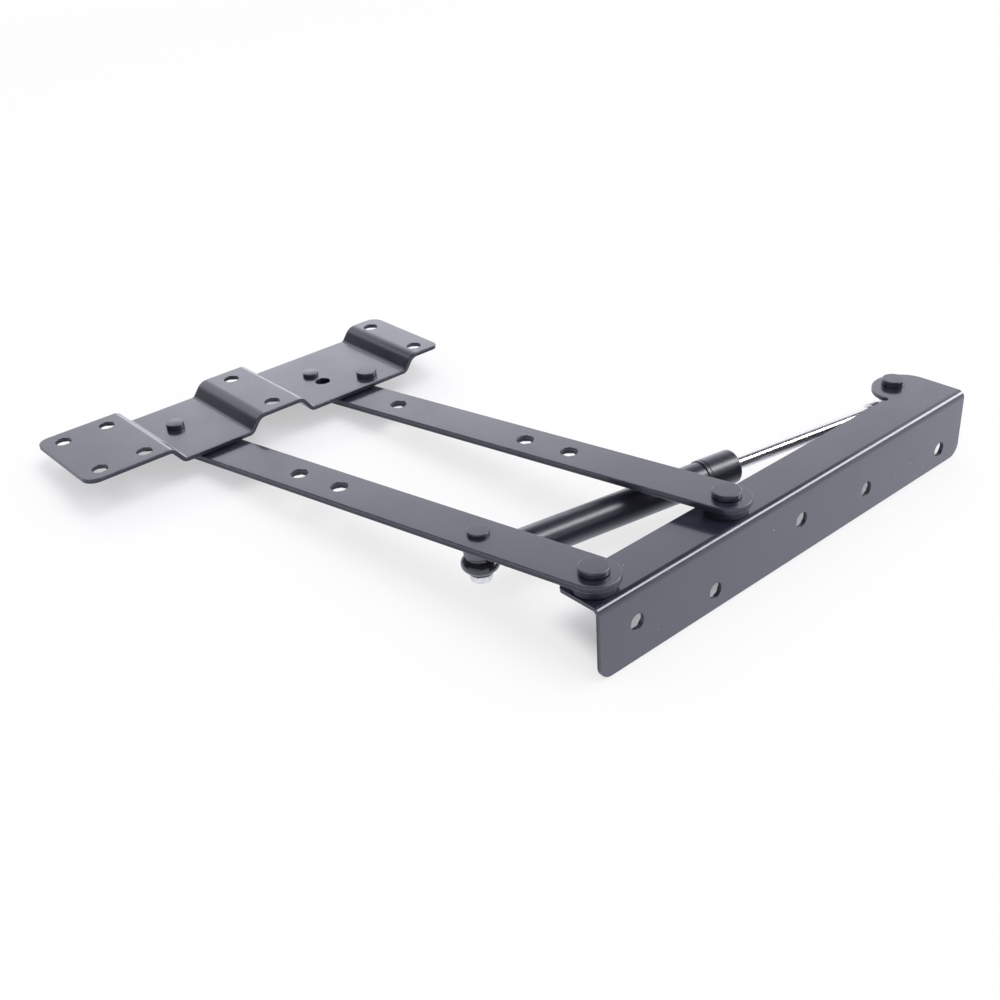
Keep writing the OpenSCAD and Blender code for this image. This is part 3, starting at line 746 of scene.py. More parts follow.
cap = turned(filleted(cap_points, [0, 0.2, 0.1, 0.1, 0.1, 0.1, 0.9, 0.5, 0, 0]), ring=True)
put("gas_tube_cap", cap, "rod_cap", "gas_tube", "gloss_tube", along_spring)
rod_points = [(0, ROD_START), (ROD_R, ROD_START), (ROD_R, ROD_END), (0, ROD_END)]
put("gas_rod_bar", turned(filleted(rod_points, [0, 0.3, 0.3, 0]), steps=ROD_STEPS),
    "spring_rod", "gas_rod", "chrome_rod", along_spring)
print("spring of", round(SPRING_L, 2), "mm at", round(SPRING_DEG, 2), "degrees")

# %% [markdown]
# The eye on the tube is moulded plastic and the one on the rod is cast zinc, so in both the disc,
# its two bosses, the web and the neck run into each other in soft fillets. The rough forms are laid
# through each other, wrapped in one even skin by a voxel remesh and relaxed, and the bores are cut
# last, because a bore is the one crisp edge that such a part has.

# %% Moulded eyes
EYE_R, EYE_T, EYE_ROUND = 8, 5.4, 2.565
BOSS_D, EYE_HALF = 11, 4.3
WEB_W, WEB_T = 7.6, 4.6
NECK_START = 8.5
PIN_BORE, ROD_BORE = 6.16, 6.1
SKIN = 0.3
RELAX_SHARE, RELAX_TIMES = 0.5, 5
BORE_STEPS = 48


def moulded_eye(neck_d, neck_end, fall, rod_bore_start=None):
    """An eye with an upright bore at the origin and its neck along +X. fall tilts the neck."""
    half = EYE_T / 2
    disc = [
        (0, -EYE_HALF), (BOSS_D / 2, -EYE_HALF), (BOSS_D / 2, -half), (EYE_R, -half),
        (EYE_R, half), (BOSS_D / 2, half), (BOSS_D / 2, EYE_HALF), (0, EYE_HALF),
    ]
    round_eye = turned(filleted(disc, [0, 0.5, 0, EYE_ROUND, EYE_ROUND, 0, 0.5, 0]))
    down_neck = Matrix.Rotation(math.pi / 2 + fall, 4, "Y")
    neck = [(0, NECK_START), (neck_d / 2, NECK_START), (neck_d / 2, neck_end), (0, neck_end)]
    round_neck = turned(filleted(neck, [0, 1.2, 0, 0]))
    round_neck.transform(down_neck)
    web = bmesh.new()
    bmesh.ops.create_cube(web, size=1)
    web_reach = NECK_START + 1.5
    web.transform(Matrix.Diagonal((web_reach, WEB_W, WEB_T, 1)))
    web.transform(Matrix.Translation((web_reach / 2, 0, 0)))
    working = object_of("working", joined(round_eye, round_neck, web))
    skin = working.modifiers.new("skin", "REMESH")
    skin.mode = "VOXEL"
    skin.voxel_size = SKIN
    relax = working.modifiers.new("relax", "SMOOTH")
    relax.factor = RELAX_SHARE
    relax.iterations = RELAX_TIMES
    bores = [(PIN_BORE, -EYE_HALF - 1, EYE_HALF + 1, Matrix.Identity(4))]
    if rod_bore_start is not None:
        bores.append((ROD_BORE, rod_bore_start, neck_end + 1, down_neck))
    tools = []
    for bore_d, low, high, way in bores:
        points = [(0, low), (bore_d / 2, low), (bore_d / 2, high), (0, high)]
        tools.append(object_of("working", turned(points, steps=BORE_STEPS), way))
        cut = working.modifiers.new("bore", "BOOLEAN")
        cut.operation = "DIFFERENCE"
        cut.object = tools[-1]
    made = bmesh.new()
    made.from_object(working, bpy.context.evaluated_depsgraph_get())
    for used in [working] + tools:
        bpy.data.objects.remove(used)
    return made


put("tube_eye_moulded", moulded_eye(9.5, TUBE_START, SPRING_FALL), "tube_end_eye",
    "gas_tube", "eye_plastic", moved(*STUD_AT, SPRING_Z, SPRING_DEG))
put("rod_eye_cast", moulded_eye(9, 14, -SPRING_FALL, SPRING_L - ROD_END), "rod_end_eye",
    "gas_rod", "zinc_steel", moved(*EAR_PIN, EAR_Z, SPRING_DEG + 180))

# %% [markdown]
# Rims of painted and plated parts wear first. Each narrow face that lies between two turned edges
# is marked as rim, so that a finish can find the edges without looking at the camera or the light.

# %% Marking the rims
RIM_TURN = math.radians(12)
RIM_WIDTH = 0.25 * MM


def mark_rims(mesh):
    """Writes the face attribute rim: 1 on rounded edges, 0 on flats, walls and bends."""
    bm = bmesh.new()
    bm.from_mesh(mesh)
    values = np.zeros(len(bm.faces), np.float32)
    for face in bm.faces:
        turns = [edge.calc_face_angle(0) > RIM_TURN for edge in face.edges]
        narrow = min(edge.calc_length() for edge in face.edges) < RIM_WIDTH
        values[face.index] = narrow and sum(turns) >= 2
    bm.free()
    mesh.attributes.new("rim", "FLOAT", "FACE").data.foreach_set("value", values)
    return int(values.sum())


for name, piece in pieces.items():
    print(name, "has", mark_rims(piece.data), "rim faces")

# %% [markdown]
# Finishes are node materials. Three effects are shared by several of them, and each is a node
# group that is built once: the fine waviness of a sprayed or moulded skin, specks of dust, and
# wear on the rims. A group puts out only a mask or a height, and each finish decides what to do
# with it.

# %% Node helpers
def feed(tree, socket, value):
    """Links a value to a socket, or writes it there if it's a plain one."""
    if isinstance(value, bpy.types.NodeSocket):
        tree.links.new(value, socket)
    else:
        socket.default_value = value


def add_node(tree, kind, inputs=None, **settings):
    """A node with its settings and its inputs."""
    made = tree.nodes.new(kind)
    for key, value in settings.items():
        setattr(made, key, value)
    for key, value in (inputs or {}).items():
        feed(tree, made.inputs[key], value)
    return made


def new_group(name, sockets, outputs):
    """An empty node group with float inputs and their first values, and float outputs."""
    group = bpy.data.node_groups.new(name, "ShaderNodeTree")
    add_socket = group.interface.new_socket
    for label, value in sockets.items():
        made = add_socket(name=label, in_out="INPUT", socket_type="NodeSocketFloat")
        made.default_value = value
    for label in outputs:
        add_socket(name=label, in_out="OUTPUT", socket_type="NodeSocketFloat")
    inside = group.nodes.new("NodeGroupInput").outputs
    return group, inside, group.nodes.new("NodeGroupOutput").inputs


def ramp(tree, value, low, high, to_low=0.0, to_high=1.0):
    """A value stretched smoothly from low..high to to_low..to_high."""
    return add_node(tree, "ShaderNodeMapRange", {
        "Value": value, "From Min": low, "From Max": high, "To Min": to_low, "To Max": to_high,
    }, interpolation_type="SMOOTHSTEP").outputs["Result"]


def maths(tree, operation, made, *others):
    """Values put together in turn."""
    for other in others:
        made = add_node(tree, "ShaderNodeMath", {0: made, 1: other}, operation=operation).outputs[0]
    return made


def own_place(tree):
    """The object's own coordinates, in metres."""
    return add_node(tree, "ShaderNodeTexCoord").outputs["Object"]


def noise(tree, scale, detail, **inputs):
    """Noise over the object's own coordinates. scale is in waves per metre."""
    inputs = {"Vector": own_place(tree), "Scale": scale, "Detail": detail, **inputs}
    return add_node(tree, "ShaderNodeTexNoise", inputs).outputs["Fac"]


def along(tree, place, direction):
    """How far a place or a direction reaches along a direction."""
    inputs = {0: place, 1: direction}
    return add_node(tree, "ShaderNodeVectorMath", inputs, operation="DOT_PRODUCT").outputs["Value"]


def mix_shaders(tree, share, first, second):
    """Two shaders mixed by a share."""
    return add_node(tree, "ShaderNodeMixShader", {0: share, 1: first, 2: second}).outputs[0]

# %% [markdown]
# Spray paint dries with a low waviness known as orange peel, about a millimetre from crest to
# crest, with a much finer grain on it. Moulded plastic has the same two scales. The group adds a
# coarse and a fine noise, and gives the coarse one also as a tone, for small changes of gloss.

# %% Group: skin waviness
GRAIN_FINER = 5.0
BROAD_WAVES, BROAD_SHARE = 45.0, 0.7

skin_group, skin_in, skin_out = new_group(
    "skin_waviness", {"Waves per metre": 700.0, "Grain share": 0.3}, ["Height", "Tone"])
waves = noise(skin_group, skin_in["Waves per metre"], 1.5, Roughness=0.45)
grain_waves = maths(skin_group, "MULTIPLY", skin_in["Waves per metre"], GRAIN_FINER)
grain = noise(skin_group, grain_waves, 2.0)
grain = maths(skin_group, "MULTIPLY", grain, skin_in["Grain share"])
feed(skin_group, skin_out["Height"], maths(skin_group, "ADD", waves, grain))
broad = maths(skin_group, "MULTIPLY", noise(skin_group, BROAD_WAVES, 4.0), BROAD_SHARE)
tone = maths(skin_group, "ADD", broad, maths(skin_group, "MULTIPLY", waves, 1 - BROAD_SHARE))
feed(skin_group, skin_out["Tone"], tone)
print(skin_group.name, "gives", [socket.name for socket in skin_out if socket.name])

# %% [markdown]
# Dust settles as pale specks a tenth or two of a millimetre across, far apart and of uneven size.
# A Voronoi pattern gives one point per cell; its random colour decides whether the cell has a
# speck at all and how large it is.

# %% Group: dust specks
dust_group, dust_in, dust_out = new_group(
    "dust_specks", {"Cells per metre": 260.0, "Share": 0.12, "Speck size": 0.045}, ["Mask"])
cells = add_node(dust_group, "ShaderNodeTexVoronoi", {
    "Vector": own_place(dust_group), "Scale": dust_in["Cells per metre"]}).outputs
chance = add_node(dust_group, "ShaderNodeSeparateColor", {"Color": cells["Color"]}).outputs
present = maths(dust_group, "LESS_THAN", chance["Red"], dust_in["Share"])
size = maths(dust_group, "MULTIPLY", chance["Green"], dust_in["Speck size"])
speck = maths(dust_group, "LESS_THAN", cells["Distance"], size)
feed(dust_group, dust_out["Mask"], maths(dust_group, "MULTIPLY", present, speck))
print(dust_group.name, "gives", [socket.name for socket in dust_out if socket.name])

# %% [markdown]
# On the rims paint is thinner and gets rubbed. The group breaks the rim mark up with noise, so
# that wear comes in short runs and not as an outline drawn round the part.

# %% Group: rim wear
RUN_SPAN = (0.42, 0.66)

wear_group, wear_in, wear_out = new_group(
    "rim_wear", {"Amount": 0.5, "Runs per metre": 300.0}, ["Mask"])
rim = add_node(wear_group, "ShaderNodeAttribute", attribute_name="rim").outputs["Fac"]
broken = ramp(wear_group, noise(wear_group, wear_in["Runs per metre"], 3.0), *RUN_SPAN)
feed(wear_group, wear_out["Mask"], maths(wear_group, "MULTIPLY", rim, broken, wear_in["Amount"]))
print(wear_group.name, "reads the face attribute rim")

# %% [markdown]
# Every finish is a material with one shader. Its groups are placed with their own values, its
# colours are blended by their masks, and their heights, which are shares of a relief given in
# metres, go through one bump.

# %% Finish helpers
def new_finish(name):
    """A material with its tree and its shader."""
    material = bpy.data.materials.new(name)
    material.use_nodes = True
    return material, material.node_tree, material.node_tree.nodes["Principled BSDF"]


def place_group(tree, group, **values):
    """The outputs of a shared group with its own values. Names are written with _ for spaces."""
    values = {label.replace("_", " "): value for label, value in values.items()}
    return add_node(tree, "ShaderNodeGroup", values, node_tree=group).outputs


def blend_colour(tree, share, first, second):
    """A colour between two, by a mask."""
    made = add_node(tree, "ShaderNodeMix", {"Factor": share}, data_type="RGBA")
    for socket, value in ((made.inputs[6], first), (made.inputs[7], second)):
        feed(tree, socket, (*value, 1) if isinstance(value, tuple) else value)
    return made.outputs[2]


def surface(tree, shader, colour, rough, raised, relief):
    """Feeds the shader. relief is how high the surface stands where raised is 1, in metres."""
    bump = add_node(tree, "ShaderNodeBump", {"Height": raised, "Strength": 1.0, "Distance": relief})
    feed(tree, shader.inputs["Base Color"], colour)
    feed(tree, shader.inputs["Roughness"], rough)
    feed(tree, shader.inputs["Normal"], bump.outputs["Normal"])


print("shared groups:", ", ".join(group.name for group in bpy.data.node_groups))

# %% [markdown]
# The satin black of the sheet parts is a thin baked paint. Seen from above it looks mid grey,
# because nearly all its light is a blurred reflection of the room; its own colour is almost black
# with a little blue. A rough base under a clear coat gives that broad, soft sheen, which a single
# glossy layer doesn't. On sheared walls the paint is thin over torn steel, so there the base is
# darker and rougher and the coat mostly gone.

# %% Finish: paint and plastic in layers
PAINT_COAT_IOR = 1.6
TONE_SPAN = (0.3, 0.7)
DUST_COLOUR = (0.42, 0.42, 0.43)
DUST_ROUGHNESS, DUST_HEIGHT = 0.4, 2.0
TORN_WAVES, TORN_SPAN = 1800.0, (0.3, 0.6, 0.6, 1.0)
TORN_ROUGHNESS, TORN_HEIGHT, TORN_COAT_LOSS = 0.25, 6.0, 0.8


def layered_finish(name, dark, light, gloss, coat, waves, relief, dust, wear, worn_colour,
                   tint=None, sheared=None):
    """A finish of a coloured base under a clear coat. gloss is (low, high) base roughness, coat is
    (weight, roughness), waves is (per metre, grain share), relief is the height in metres, dust is
    (share, size), tint colours a paint's sheen and sheared is the colour of cut walls."""
    material, tree, shader = new_finish(name)
    skin = place_group(tree, skin_group, Waves_per_metre=waves[0], Grain_share=waves[1])
    specks = place_group(tree, dust_group, Share=dust[0], Speck_size=dust[1])["Mask"]
    rubbed = place_group(tree, wear_group, Amount=wear)["Mask"]
    colour = blend_colour(tree, ramp(tree, skin["Tone"], *TONE_SPAN), dark, light)
    colour = blend_colour(tree, rubbed, colour, worn_colour)
    colour = blend_colour(tree, specks, colour, DUST_COLOUR)
    rough = maths(tree, "ADD", ramp(tree, skin["Tone"], *TONE_SPAN, *gloss),
                  maths(tree, "MULTIPLY", specks, DUST_ROUGHNESS))
    raised = maths(tree, "ADD", skin["Height"], maths(tree, "MULTIPLY", specks, DUST_HEIGHT))
    shader.inputs["Coat Weight"].default_value = coat[0]
    shader.inputs["Coat Roughness"].default_value = coat[1]
    if tint:
        shader.inputs["Coat IOR"].default_value = PAINT_COAT_IOR
        shader.inputs["Specular Tint"].default_value = (*tint, 1)
    if sheared:
        wall = add_node(tree, "ShaderNodeAttribute", attribute_name="cut").outputs["Fac"]
        grit = noise(tree, TORN_WAVES, 3.0)
        torn = maths(tree, "MULTIPLY", wall, ramp(tree, grit, *TORN_SPAN))
        colour = blend_colour(tree, torn, colour, sheared)
        rough = maths(tree, "ADD", rough, maths(tree, "MULTIPLY", torn, TORN_ROUGHNESS))
        lost = maths(tree, "MULTIPLY", torn, TORN_COAT_LOSS * coat[0])
        feed(tree, shader.inputs["Coat Weight"], maths(tree, "SUBTRACT", coat[0], lost))
        raised = maths(tree, "ADD", raised, maths(tree, "MULTIPLY", wall, grit, TORN_HEIGHT))
    surface(tree, shader, colour, rough, raised, relief)
    return material


print("a coat with an index of", PAINT_COAT_IOR, "lies over the paints")

# %% [markdown]
# Three paints are black: satin on the sheet parts, slightly duller on the rivets, and a darker one
# with a smoother skin on the gas tube.

# %% Finish: black paints
finishes = {}
PAINT_WORN = (0.09, 0.092, 0.11)
PAINT_TINT = (0.84, 0.87, 1.0)
finishes["black_steel"] = layered_finish(
    "satin_black_paint", (0.015, 0.0165, 0.031), (0.020, 0.0215, 0.038), (0.28, 0.42), (1.0, 0.13),
    (800.0, 0.25), 3e-6, (0.13, 0.075), 0.35, PAINT_WORN, PAINT_TINT, (0.010, 0.0105, 0.017))
finishes["black_rivet"] = layered_finish(
    "satin_black_rivet_paint", (0.015, 0.016, 0.028), (0.021, 0.022, 0.035), (0.32, 0.46),
    (0.9, 0.17), (1100.0, 0.35), 4e-6, (0.12, 0.045), 0.6, PAINT_WORN, PAINT_TINT)
finishes["gloss_tube"] = layered_finish(
    "gloss_black_tube_paint", (0.008, 0.0085, 0.017), (0.011, 0.0115, 0.022), (0.44, 0.50),
    (1.0, 0.30), (500.0, 0.12), 1.5e-6, (0.06, 0.045), 0.3, PAINT_WORN, PAINT_TINT)
print("painted finishes:", ", ".join(finishes))

# %% [markdown]
# The plastics are the glossy black of the eyes, the dull black nylon of the washers and the mid
# grey of the spacers. They use the same layers with other values: nylon has next to no coat and a
# coarser skin, and grey plastic shows flow marks as a slow change of tone.

# %% Finish: plastics and rubber
finishes["eye_plastic"] = layered_finish(
    "gloss_black_plastic", (0.010, 0.010, 0.016), (0.014, 0.014, 0.021), (0.16, 0.24), (0.8, 0.09),
    (900.0, 0.2), 2e-6, (0.08, 0.045), 0.15, (0.05, 0.05, 0.06), PAINT_TINT)
finishes["black_plastic"] = layered_finish(
    "nylon_washer_black", (0.008, 0.008, 0.012), (0.013, 0.013, 0.018), (0.38, 0.52), (0.1, 0.3),
    (1600.0, 0.5), 5e-6, (0.10, 0.045), 0.25, (0.04, 0.04, 0.05), (0.6, 0.64, 0.8))
finishes["grey_plastic"] = layered_finish(
    "moulded_grey_plastic", (0.10, 0.10, 0.115), (0.14, 0.14, 0.158), (0.36, 0.5), (0.15, 0.3),
    (1200.0, 0.5), 5e-6, (0.10, 0.045), 0.35, (0.26, 0.26, 0.28))
finishes["seal_rubber"] = layered_finish(
    "seal_rubber_black", (0.013, 0.013, 0.014), (0.022, 0.022, 0.023), (0.55, 0.72), (0.0, 0.4),
    (2200.0, 0.7), 8e-6, (0.05, 0.045), 0.2, (0.04, 0.04, 0.04))
print("plastic finishes:", ", ".join(list(finishes)[3:]))

# %% [markdown]
# The metals are bare: zinc plate with a pale, cloudy bloom on the nuts, hard chrome on the ground
# rod, and porous bronze inside the tube. What tells them apart is the size of their marks, so a
# group gives fine lines across the axis of the ground rod, and larger blotches.

# %% Group: turning marks
marks_group, marks_in, marks_out = new_group(
    "turning_marks", {"Lines per metre": 9000.0, "Blotches per metre": 350.0}, ["Lines", "Blotch"])
spring_axis = (along_spring.to_3x3() @ Vector((0, 0, 1))).normalized()
lines = add_node(marks_group, "ShaderNodeTexNoise", {
    "W": along(marks_group, own_place(marks_group), spring_axis),
    "Scale": marks_in["Lines per metre"], "Detail": 2.0,
}, noise_dimensions="1D")
feed(marks_group, marks_out["Lines"], lines.outputs["Fac"])
feed(marks_group, marks_out["Blotch"], noise(marks_group, marks_in["Blotches per metre"], 4.0))
print(marks_group.name, "runs across the axis", [round(v, 3) for v in spring_axis])


# %% Finish: bare metals
METAL_DUST_COLOUR = (0.4, 0.4, 0.4)
BLOTCH_SPAN = (0.35, 0.65)


def metal_finish(name, dark, light, gloss, lines_rough, relief, lines, dust):
    """A bare metal. gloss is (low, high) roughness by blotch, and lines_rough is added by lines."""
    material, tree, shader = new_finish(name)
    shader.inputs["Metallic"].default_value = 1.0
    marks = place_group(tree, marks_group, Lines_per_metre=lines)
    specks = place_group(tree, dust_group, Share=dust)["Mask"]
    colour = blend_colour(tree, ramp(tree, marks["Blotch"], *BLOTCH_SPAN), dark, light)
    colour = blend_colour(tree, specks, colour, METAL_DUST_COLOUR)
    rough = maths(tree, "ADD", ramp(tree, marks["Blotch"], *BLOTCH_SPAN, *gloss),
                  maths(tree, "MULTIPLY", marks["Lines"], lines_rough),
                  maths(tree, "MULTIPLY", specks, DUST_ROUGHNESS))
    raised = maths(tree, "ADD", marks["Lines"], marks["Blotch"])
    surface(tree, shader, colour, rough, raised, relief)
    return material


finishes["zinc_steel"] = metal_finish(
    "zinc_plate", (0.76, 0.75, 0.73), (0.90, 0.885, 0.86), (0.24, 0.38), 0.05, 4e-6, 2500.0, 0.06)
finishes["chrome_rod"] = metal_finish(
    "ground_chrome", (0.83, 0.82, 0.81), (0.88, 0.875, 0.86), (0.17, 0.21), 0.04, 2e-7, 9000.0,
    0.02)
finishes["sintered_bronze"] = metal_finish(
    "porous_bronze", (0.34, 0.24, 0.13), (0.52, 0.38, 0.22), (0.38, 0.55), 0.1, 8e-6, 4000.0, 0.02)

print("metal finishes:", ", ".join(list(finishes)[7:]))

# %% [markdown]
# Each piece gets the finish that its slot names. The guide, the seal, the piston and its ring
# inside the tube are the CAD's own solids, which keep their shape and only get a finish.

# %% Giving out the finishes
for name, piece in pieces.items():
    piece.data.materials.clear()
    piece.data.materials.append(finishes[piece["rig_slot"]])
inner_nodes = {
    "rod_guide": "sintered_bronze", "piston": "sintered_bronze",
    "rod_seal": "seal_rubber", "piston_ring": "seal_rubber",
}
for node_name, finish in inner_nodes.items():
    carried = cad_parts[node_name]
    if not carried.material_slots:
        carried.data.materials.append(finishes[finish])
    for material_slot in carried.material_slots:
        material_slot.material = finishes[finish]
print(len(pieces), "pieces and", len(inner_nodes), "carried nodes have a finish")

# %% [markdown]
# In the photograph the mechanism lies on a white table: the bracket rests on its lower edge and
# the top plate on its rivets, which tilts the model's frame by about eight degrees. The model keeps
# its frame, so here the table is tilted instead, and passes just under that edge and the rivets.

# %% Floor
FLOOR_LOW = Vector((0, 0, -0.01783))
FLOOR_HIGH = Vector((0, 0.23318, 0.01702))
FLOOR_MIDDLE = Vector((-0.05, 0.11, 0))
FLOOR_R, FLOOR_SIDES = 3.2, 96

tilt = math.atan2(FLOOR_HIGH.z - FLOOR_LOW.z, FLOOR_HIGH.y - FLOOR_LOW.y)
tilted = Matrix.Rotation(tilt, 4, "X")
floor_mesh = bmesh.new()
bmesh.ops.create_circle(floor_mesh, cap_ends=True, segments=FLOOR_SIDES, radius=FLOOR_R)
floor_data = bpy.data.meshes.new("floor")
floor_mesh.to_mesh(floor_data)
floor_mesh.free()
floor = added("floor", floor_data)
height_there = FLOOR_LOW.z + FLOOR_MIDDLE.y * math.tan(tilt)
floor.matrix_world = Matrix.Translation((FLOOR_MIDDLE.x, FLOOR_MIDDLE.y, height_there)) @ tilted
print("floor tilted by", round(math.degrees(tilt), 2), "degrees")

# %% [markdown]
# The table is a matt white surface that runs out into the white of the background, so no horizon
# shows. It also glows a little where it is looked at, a painted light that lightens the shadows on
# it. It glows less under the bracket and under the top plate, which paints a deeper shade there,
# where the photograph's shadow is deepest.

# %% Finish: white table
FLOOR_PLAIN_R, FLOOR_WHITE_R = 0.45, 0.9
FLOOR_GLOW = 0.72
FLOOR_COLOUR, FLOOR_PAINTED_REFLECTION_TINT = (0.955, 0.95, 0.985, 1), (0.86, 0.885, 1.0)
FLOOR_ROUGHNESS, FLOOR_SHEEN = 0.9, 0.2
ZONE_SOFT = 0.014
# places where the glow is lowered, a painted shade under the bracket and under the top plate
PAINTED_SHADE_ZONES = (
    # middle and half size along X and Y, and the glow there
    ((0.001, 0.019), (0.103, 0.009), 0.22),
    ((-0.124, 0.222), (0.092, 0.030), 0.46),
)

floor_finish, tree, matt = new_finish("matt_white_table")
matt.inputs["Base Color"].default_value = FLOOR_COLOUR
matt.inputs["Roughness"].default_value = FLOOR_ROUGHNESS
matt.inputs["Specular IOR Level"].default_value = FLOOR_SHEEN
place = own_place(tree)
away = add_node(tree, "ShaderNodeVectorMath", {0: place}, operation="LENGTH").outputs["Value"]
ray = add_node(tree, "ShaderNodeLightPath").outputs
# in reflections the glow is bluer than the table, a painted tint on the table's mirror image in the
# paint
glow_colour = blend_colour(tree, ray["Is Glossy Ray"], (1, 1, 1), FLOOR_PAINTED_REFLECTION_TINT)
white = add_node(tree, "ShaderNodeEmission", {"Color": glow_colour, "Strength": 1.0}).outputs[0]
# the glow is a painted light: where the table is looked at or mirrored, it lightens its shadows
looked_at = maths(tree, "MAXIMUM", ray["Is Camera Ray"], ray["Is Glossy Ray"],
                  ray["Is Transmission Ray"])
axes = add_node(tree, "ShaderNodeSeparateXYZ", {0: place}).outputs
# each zone takes glow away, which paints shade on the table there
glow = FLOOR_GLOW
for middle, half, glow_there in PAINTED_SHADE_ZONES:
    painted_shade_depth = FLOOR_GLOW - glow_there
    for axis in (0, 1):
        off = maths(tree, "SUBTRACT", axes[axis], middle[axis] - FLOOR_MIDDLE[axis])
        off = maths(tree, "ABSOLUTE", off, 0.0)
        near = ramp(tree, off, half[axis], half[axis] + ZONE_SOFT, 1.0, 0.0)
        painted_shade_depth = maths(tree, "MULTIPLY", near, painted_shade_depth)
    glow = maths(tree, "SUBTRACT", glow, painted_shade_depth)
share = maths(tree, "MAXIMUM", ramp(tree, away, FLOOR_PLAIN_R, FLOOR_WHITE_R),
              maths(tree, "MULTIPLY", looked_at, glow))
table = mix_shaders(tree, share, matt.outputs[0], white)
feed(tree, tree.nodes["Material Output"].inputs["Surface"], table)
floor_data.materials.append(floor_finish)
print("table glows by", FLOOR_GLOW, "and less in", len(PAINTED_SHADE_ZONES), "zones")

# %% [markdown]
# What the paint looks like comes from what it mirrors: a white wall with a window at the back
# right makes all upward faces mid grey, and the dark room beside it keeps the risers dark. Low grey
# walls, with a gap at the back left, give the other sides some light to mirror. Walls and room are
# drawn in the world by direction, and only reflections see them: the camera sees plain white
# everywhere.

# %% The room that the paint mirrors
WHITE = (1, 1, 1, 1)
ROOM_COLOUR = (0.98, 0.985, 1.0, 1)
ROOM_FILL = 0.78
ROOM_SEEN_IN_GLOSS = 0.04
HORIZON = (-0.04, 0.0)
WALL_COLOUR = (0.98, 0.985, 1.07, 1)
WALL_TOWARDS, WALL_EDGE, WALL_TOP = Vector((0.68, 0.73, 0)), (0.22, 0.52), (0.60, 0.70)
WINDOW_TOWARDS, WINDOW_EDGE = Vector((0.55, 0.835, 0)), (0.960, 0.995)
WINDOW_TOP, SILL_TOP = (0.36, 0.56), (0.10, 0.30)
WALL_LEVEL, WINDOW_LEVEL, SILL_LEVEL = 1.08, 1.60, 3.2
# a grey wall's direction, its soft edge and top, its light, and the share away from it and along it
FRONT_WALL = Vector((0.6, -0.8, 0)), (0.2, 0.5), (0.30, 0.42), 0.75
LEFT_WALL = Vector((-0.98, -0.2, 0)), (0.72, 0.90), (0.50, 0.65), 0.6
LOW_WALL_GAP = Vector((-0.577, 0.816, 0)), (0.70, 0.90), (0.18, 0.28), 0.45, (1.0, 0.1)

world = bpy.data.worlds.new("studio")
bpy.context.scene.world = world
world.use_nodes = True
tree = world.node_tree
tree.nodes.clear()
way = add_node(tree, "ShaderNodeTexCoord").outputs["Generated"]
east, north, height = add_node(tree, "ShaderNodeSeparateXYZ", {0: way}).outputs
level = add_node(tree, "ShaderNodeCombineXYZ", {0: east, 1: north}).outputs[0]
level = add_node(tree, "ShaderNodeVectorMath", {0: level}, operation="NORMALIZE").outputs[0]
ray = add_node(tree, "ShaderNodeLightPath").outputs


def wall_light(towards, edge, top, light, lit=(0.0, 1.0)):
    """Light from a wall that stands towards a direction, with a soft edge and a soft top. lit is
    the share of it away from the direction and along it."""
    beside = ramp(tree, along(tree, level, towards), *edge, *lit)
    return maths(tree, "MULTIPLY", beside, ramp(tree, height, *top, light, 0.0))


def background(colour, strength):
    """A light that comes from the world."""
    inputs = {"Color": colour, "Strength": strength}
    return add_node(tree, "ShaderNodeBackground", inputs).outputs[0]


window = wall_light(WINDOW_TOWARDS, WINDOW_EDGE, WINDOW_TOP, WINDOW_LEVEL - WALL_LEVEL)
sill = wall_light(WINDOW_TOWARDS, WINDOW_EDGE, SILL_TOP, SILL_LEVEL - WINDOW_LEVEL)
white_wall = mix_shaders(tree, ray["Is Glossy Ray"], background(WHITE, 1.0),
                         background(WALL_COLOUR, maths(tree, "ADD", window, sill, WALL_LEVEL)))
grey_walls = maths(tree, "MAXIMUM", wall_light(*FRONT_WALL), wall_light(*LEFT_WALL),
                   wall_light(*LOW_WALL_GAP))
room_level = add_node(tree, "ShaderNodeMapRange", {
    "Value": ray["Is Glossy Ray"], "To Min": ROOM_FILL,
    "To Max": maths(tree, "ADD", grey_walls, ROOM_SEEN_IN_GLOSS)}).outputs[0]
below = ramp(tree, height, *HORIZON, 1.0, 0.0)
wall_share = maths(tree, "MAXIMUM", wall_light(WALL_TOWARDS, WALL_EDGE, WALL_TOP, 1.0), below)
white_share = maths(tree, "MAXIMUM", ray["Is Camera Ray"], ray["Is Transmission Ray"],
                    maths(tree, "MULTIPLY", ray["Is Glossy Ray"], wall_share))
studio = mix_shaders(tree, white_share, background(ROOM_COLOUR, room_level), white_wall)
print("white wall", WALL_LEVEL, "window", WINDOW_LEVEL, "and sill", SILL_LEVEL)

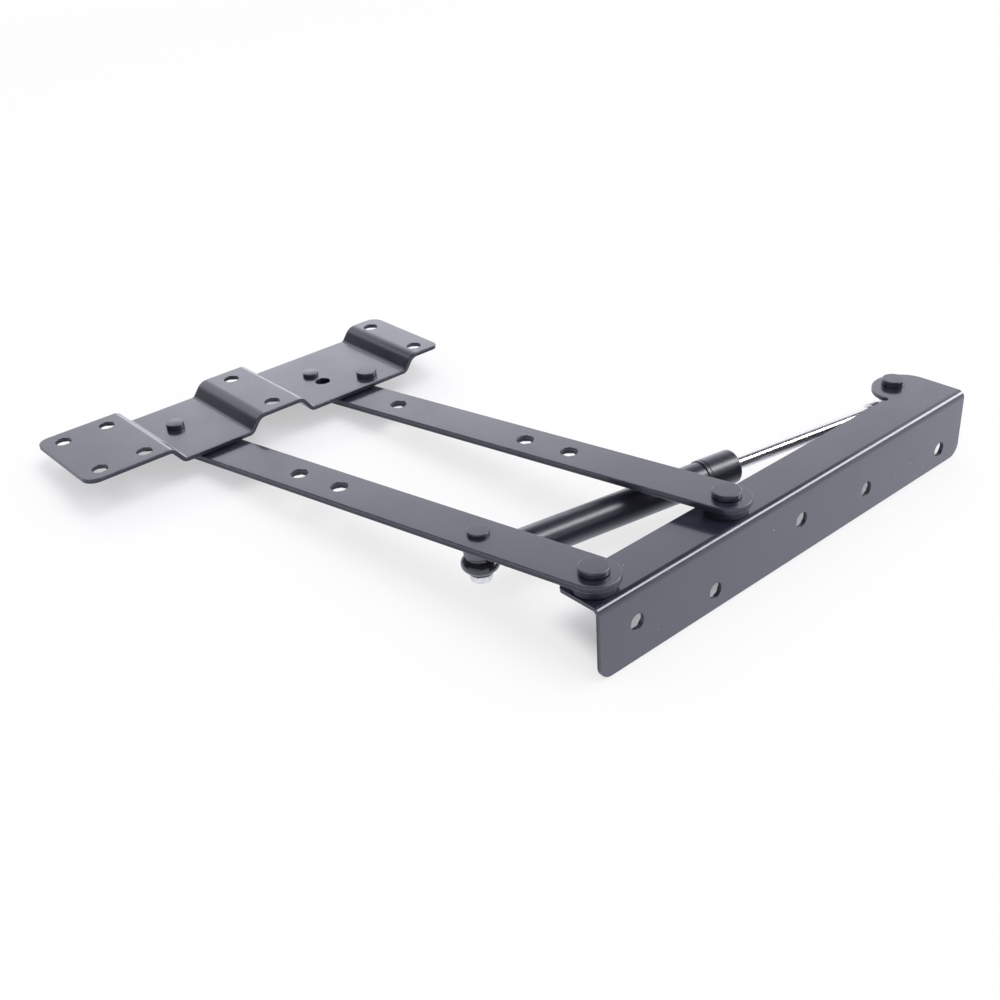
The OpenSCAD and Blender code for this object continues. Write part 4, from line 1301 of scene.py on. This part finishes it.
# %% [markdown]
# A broad, bright strip light, high at the front right, draws the line along the bracket's fold and
# the streak on the tube. Its direction was chosen so that the line falls where the photograph has
# it.

# %% Strip light
STRIP_TOWARDS = Vector((0.642, -0.450, 0.621))
STRIP_ENDS, STRIP_SIDES = (0.84, 0.90), (0.13, 0.18)
STRIP_LEVEL = 7.5

across_strip = Vector((1, 0, 0)).cross(STRIP_TOWARDS).normalized()
off_strip = maths(tree, "ABSOLUTE", along(tree, way, across_strip), 0.0)
in_strip = maths(tree, "MULTIPLY", ramp(tree, along(tree, way, STRIP_TOWARDS), *STRIP_ENDS),
                 ramp(tree, off_strip, *STRIP_SIDES, 1.0, 0.0), ray["Is Glossy Ray"])
studio = mix_shaders(tree, in_strip, studio, background(WHITE, STRIP_LEVEL))
add_node(tree, "ShaderNodeOutputWorld", {"Surface": studio})
print("strip light at", round(math.degrees(math.asin(STRIP_TOWARDS.z))), "degrees above level")

# %% [markdown]
# A large soft box overhead lights the table and gives the soft shadows. It isn't mirrored, because
# the room already holds everything that the paint shows. On a flat white card its light and the
# room's add up to a little over full white.

# %% Soft box
LAMP_TOWARDS = Vector((0.16, -0.27, 0.95)).normalized()
LAMP_AWAY = 1.8
LAMP_SIDE = 1.2
LAMP_RADIANCE = 2.7
OBJECT_MIDDLE = Vector((-0.05, 0.11, 0.01))

lamp_data = bpy.data.lights.new("soft_box", "AREA")
lamp_data.shape = "SQUARE"
lamp_data.size = LAMP_SIDE
lamp_data.energy = LAMP_RADIANCE * math.pi * LAMP_SIDE ** 2
lamp = added("soft_box", lamp_data)
lamp.location = OBJECT_MIDDLE + LAMP_AWAY * LAMP_TOWARDS
lamp.rotation_mode = "QUATERNION"
lamp.rotation_quaternion = (-LAMP_TOWARDS).to_track_quat("-Z", "Y")
lamp.visible_camera = False
lamp.visible_glossy = False
lit = LAMP_RADIANCE * LAMP_SIDE ** 2 * LAMP_TOWARDS.z / LAMP_AWAY ** 2 / math.pi
print("a white card lying flat gets", round(lit + ROOM_FILL, 2), "of full white")

bpy.context.scene.view_settings.view_transform = "Standard"
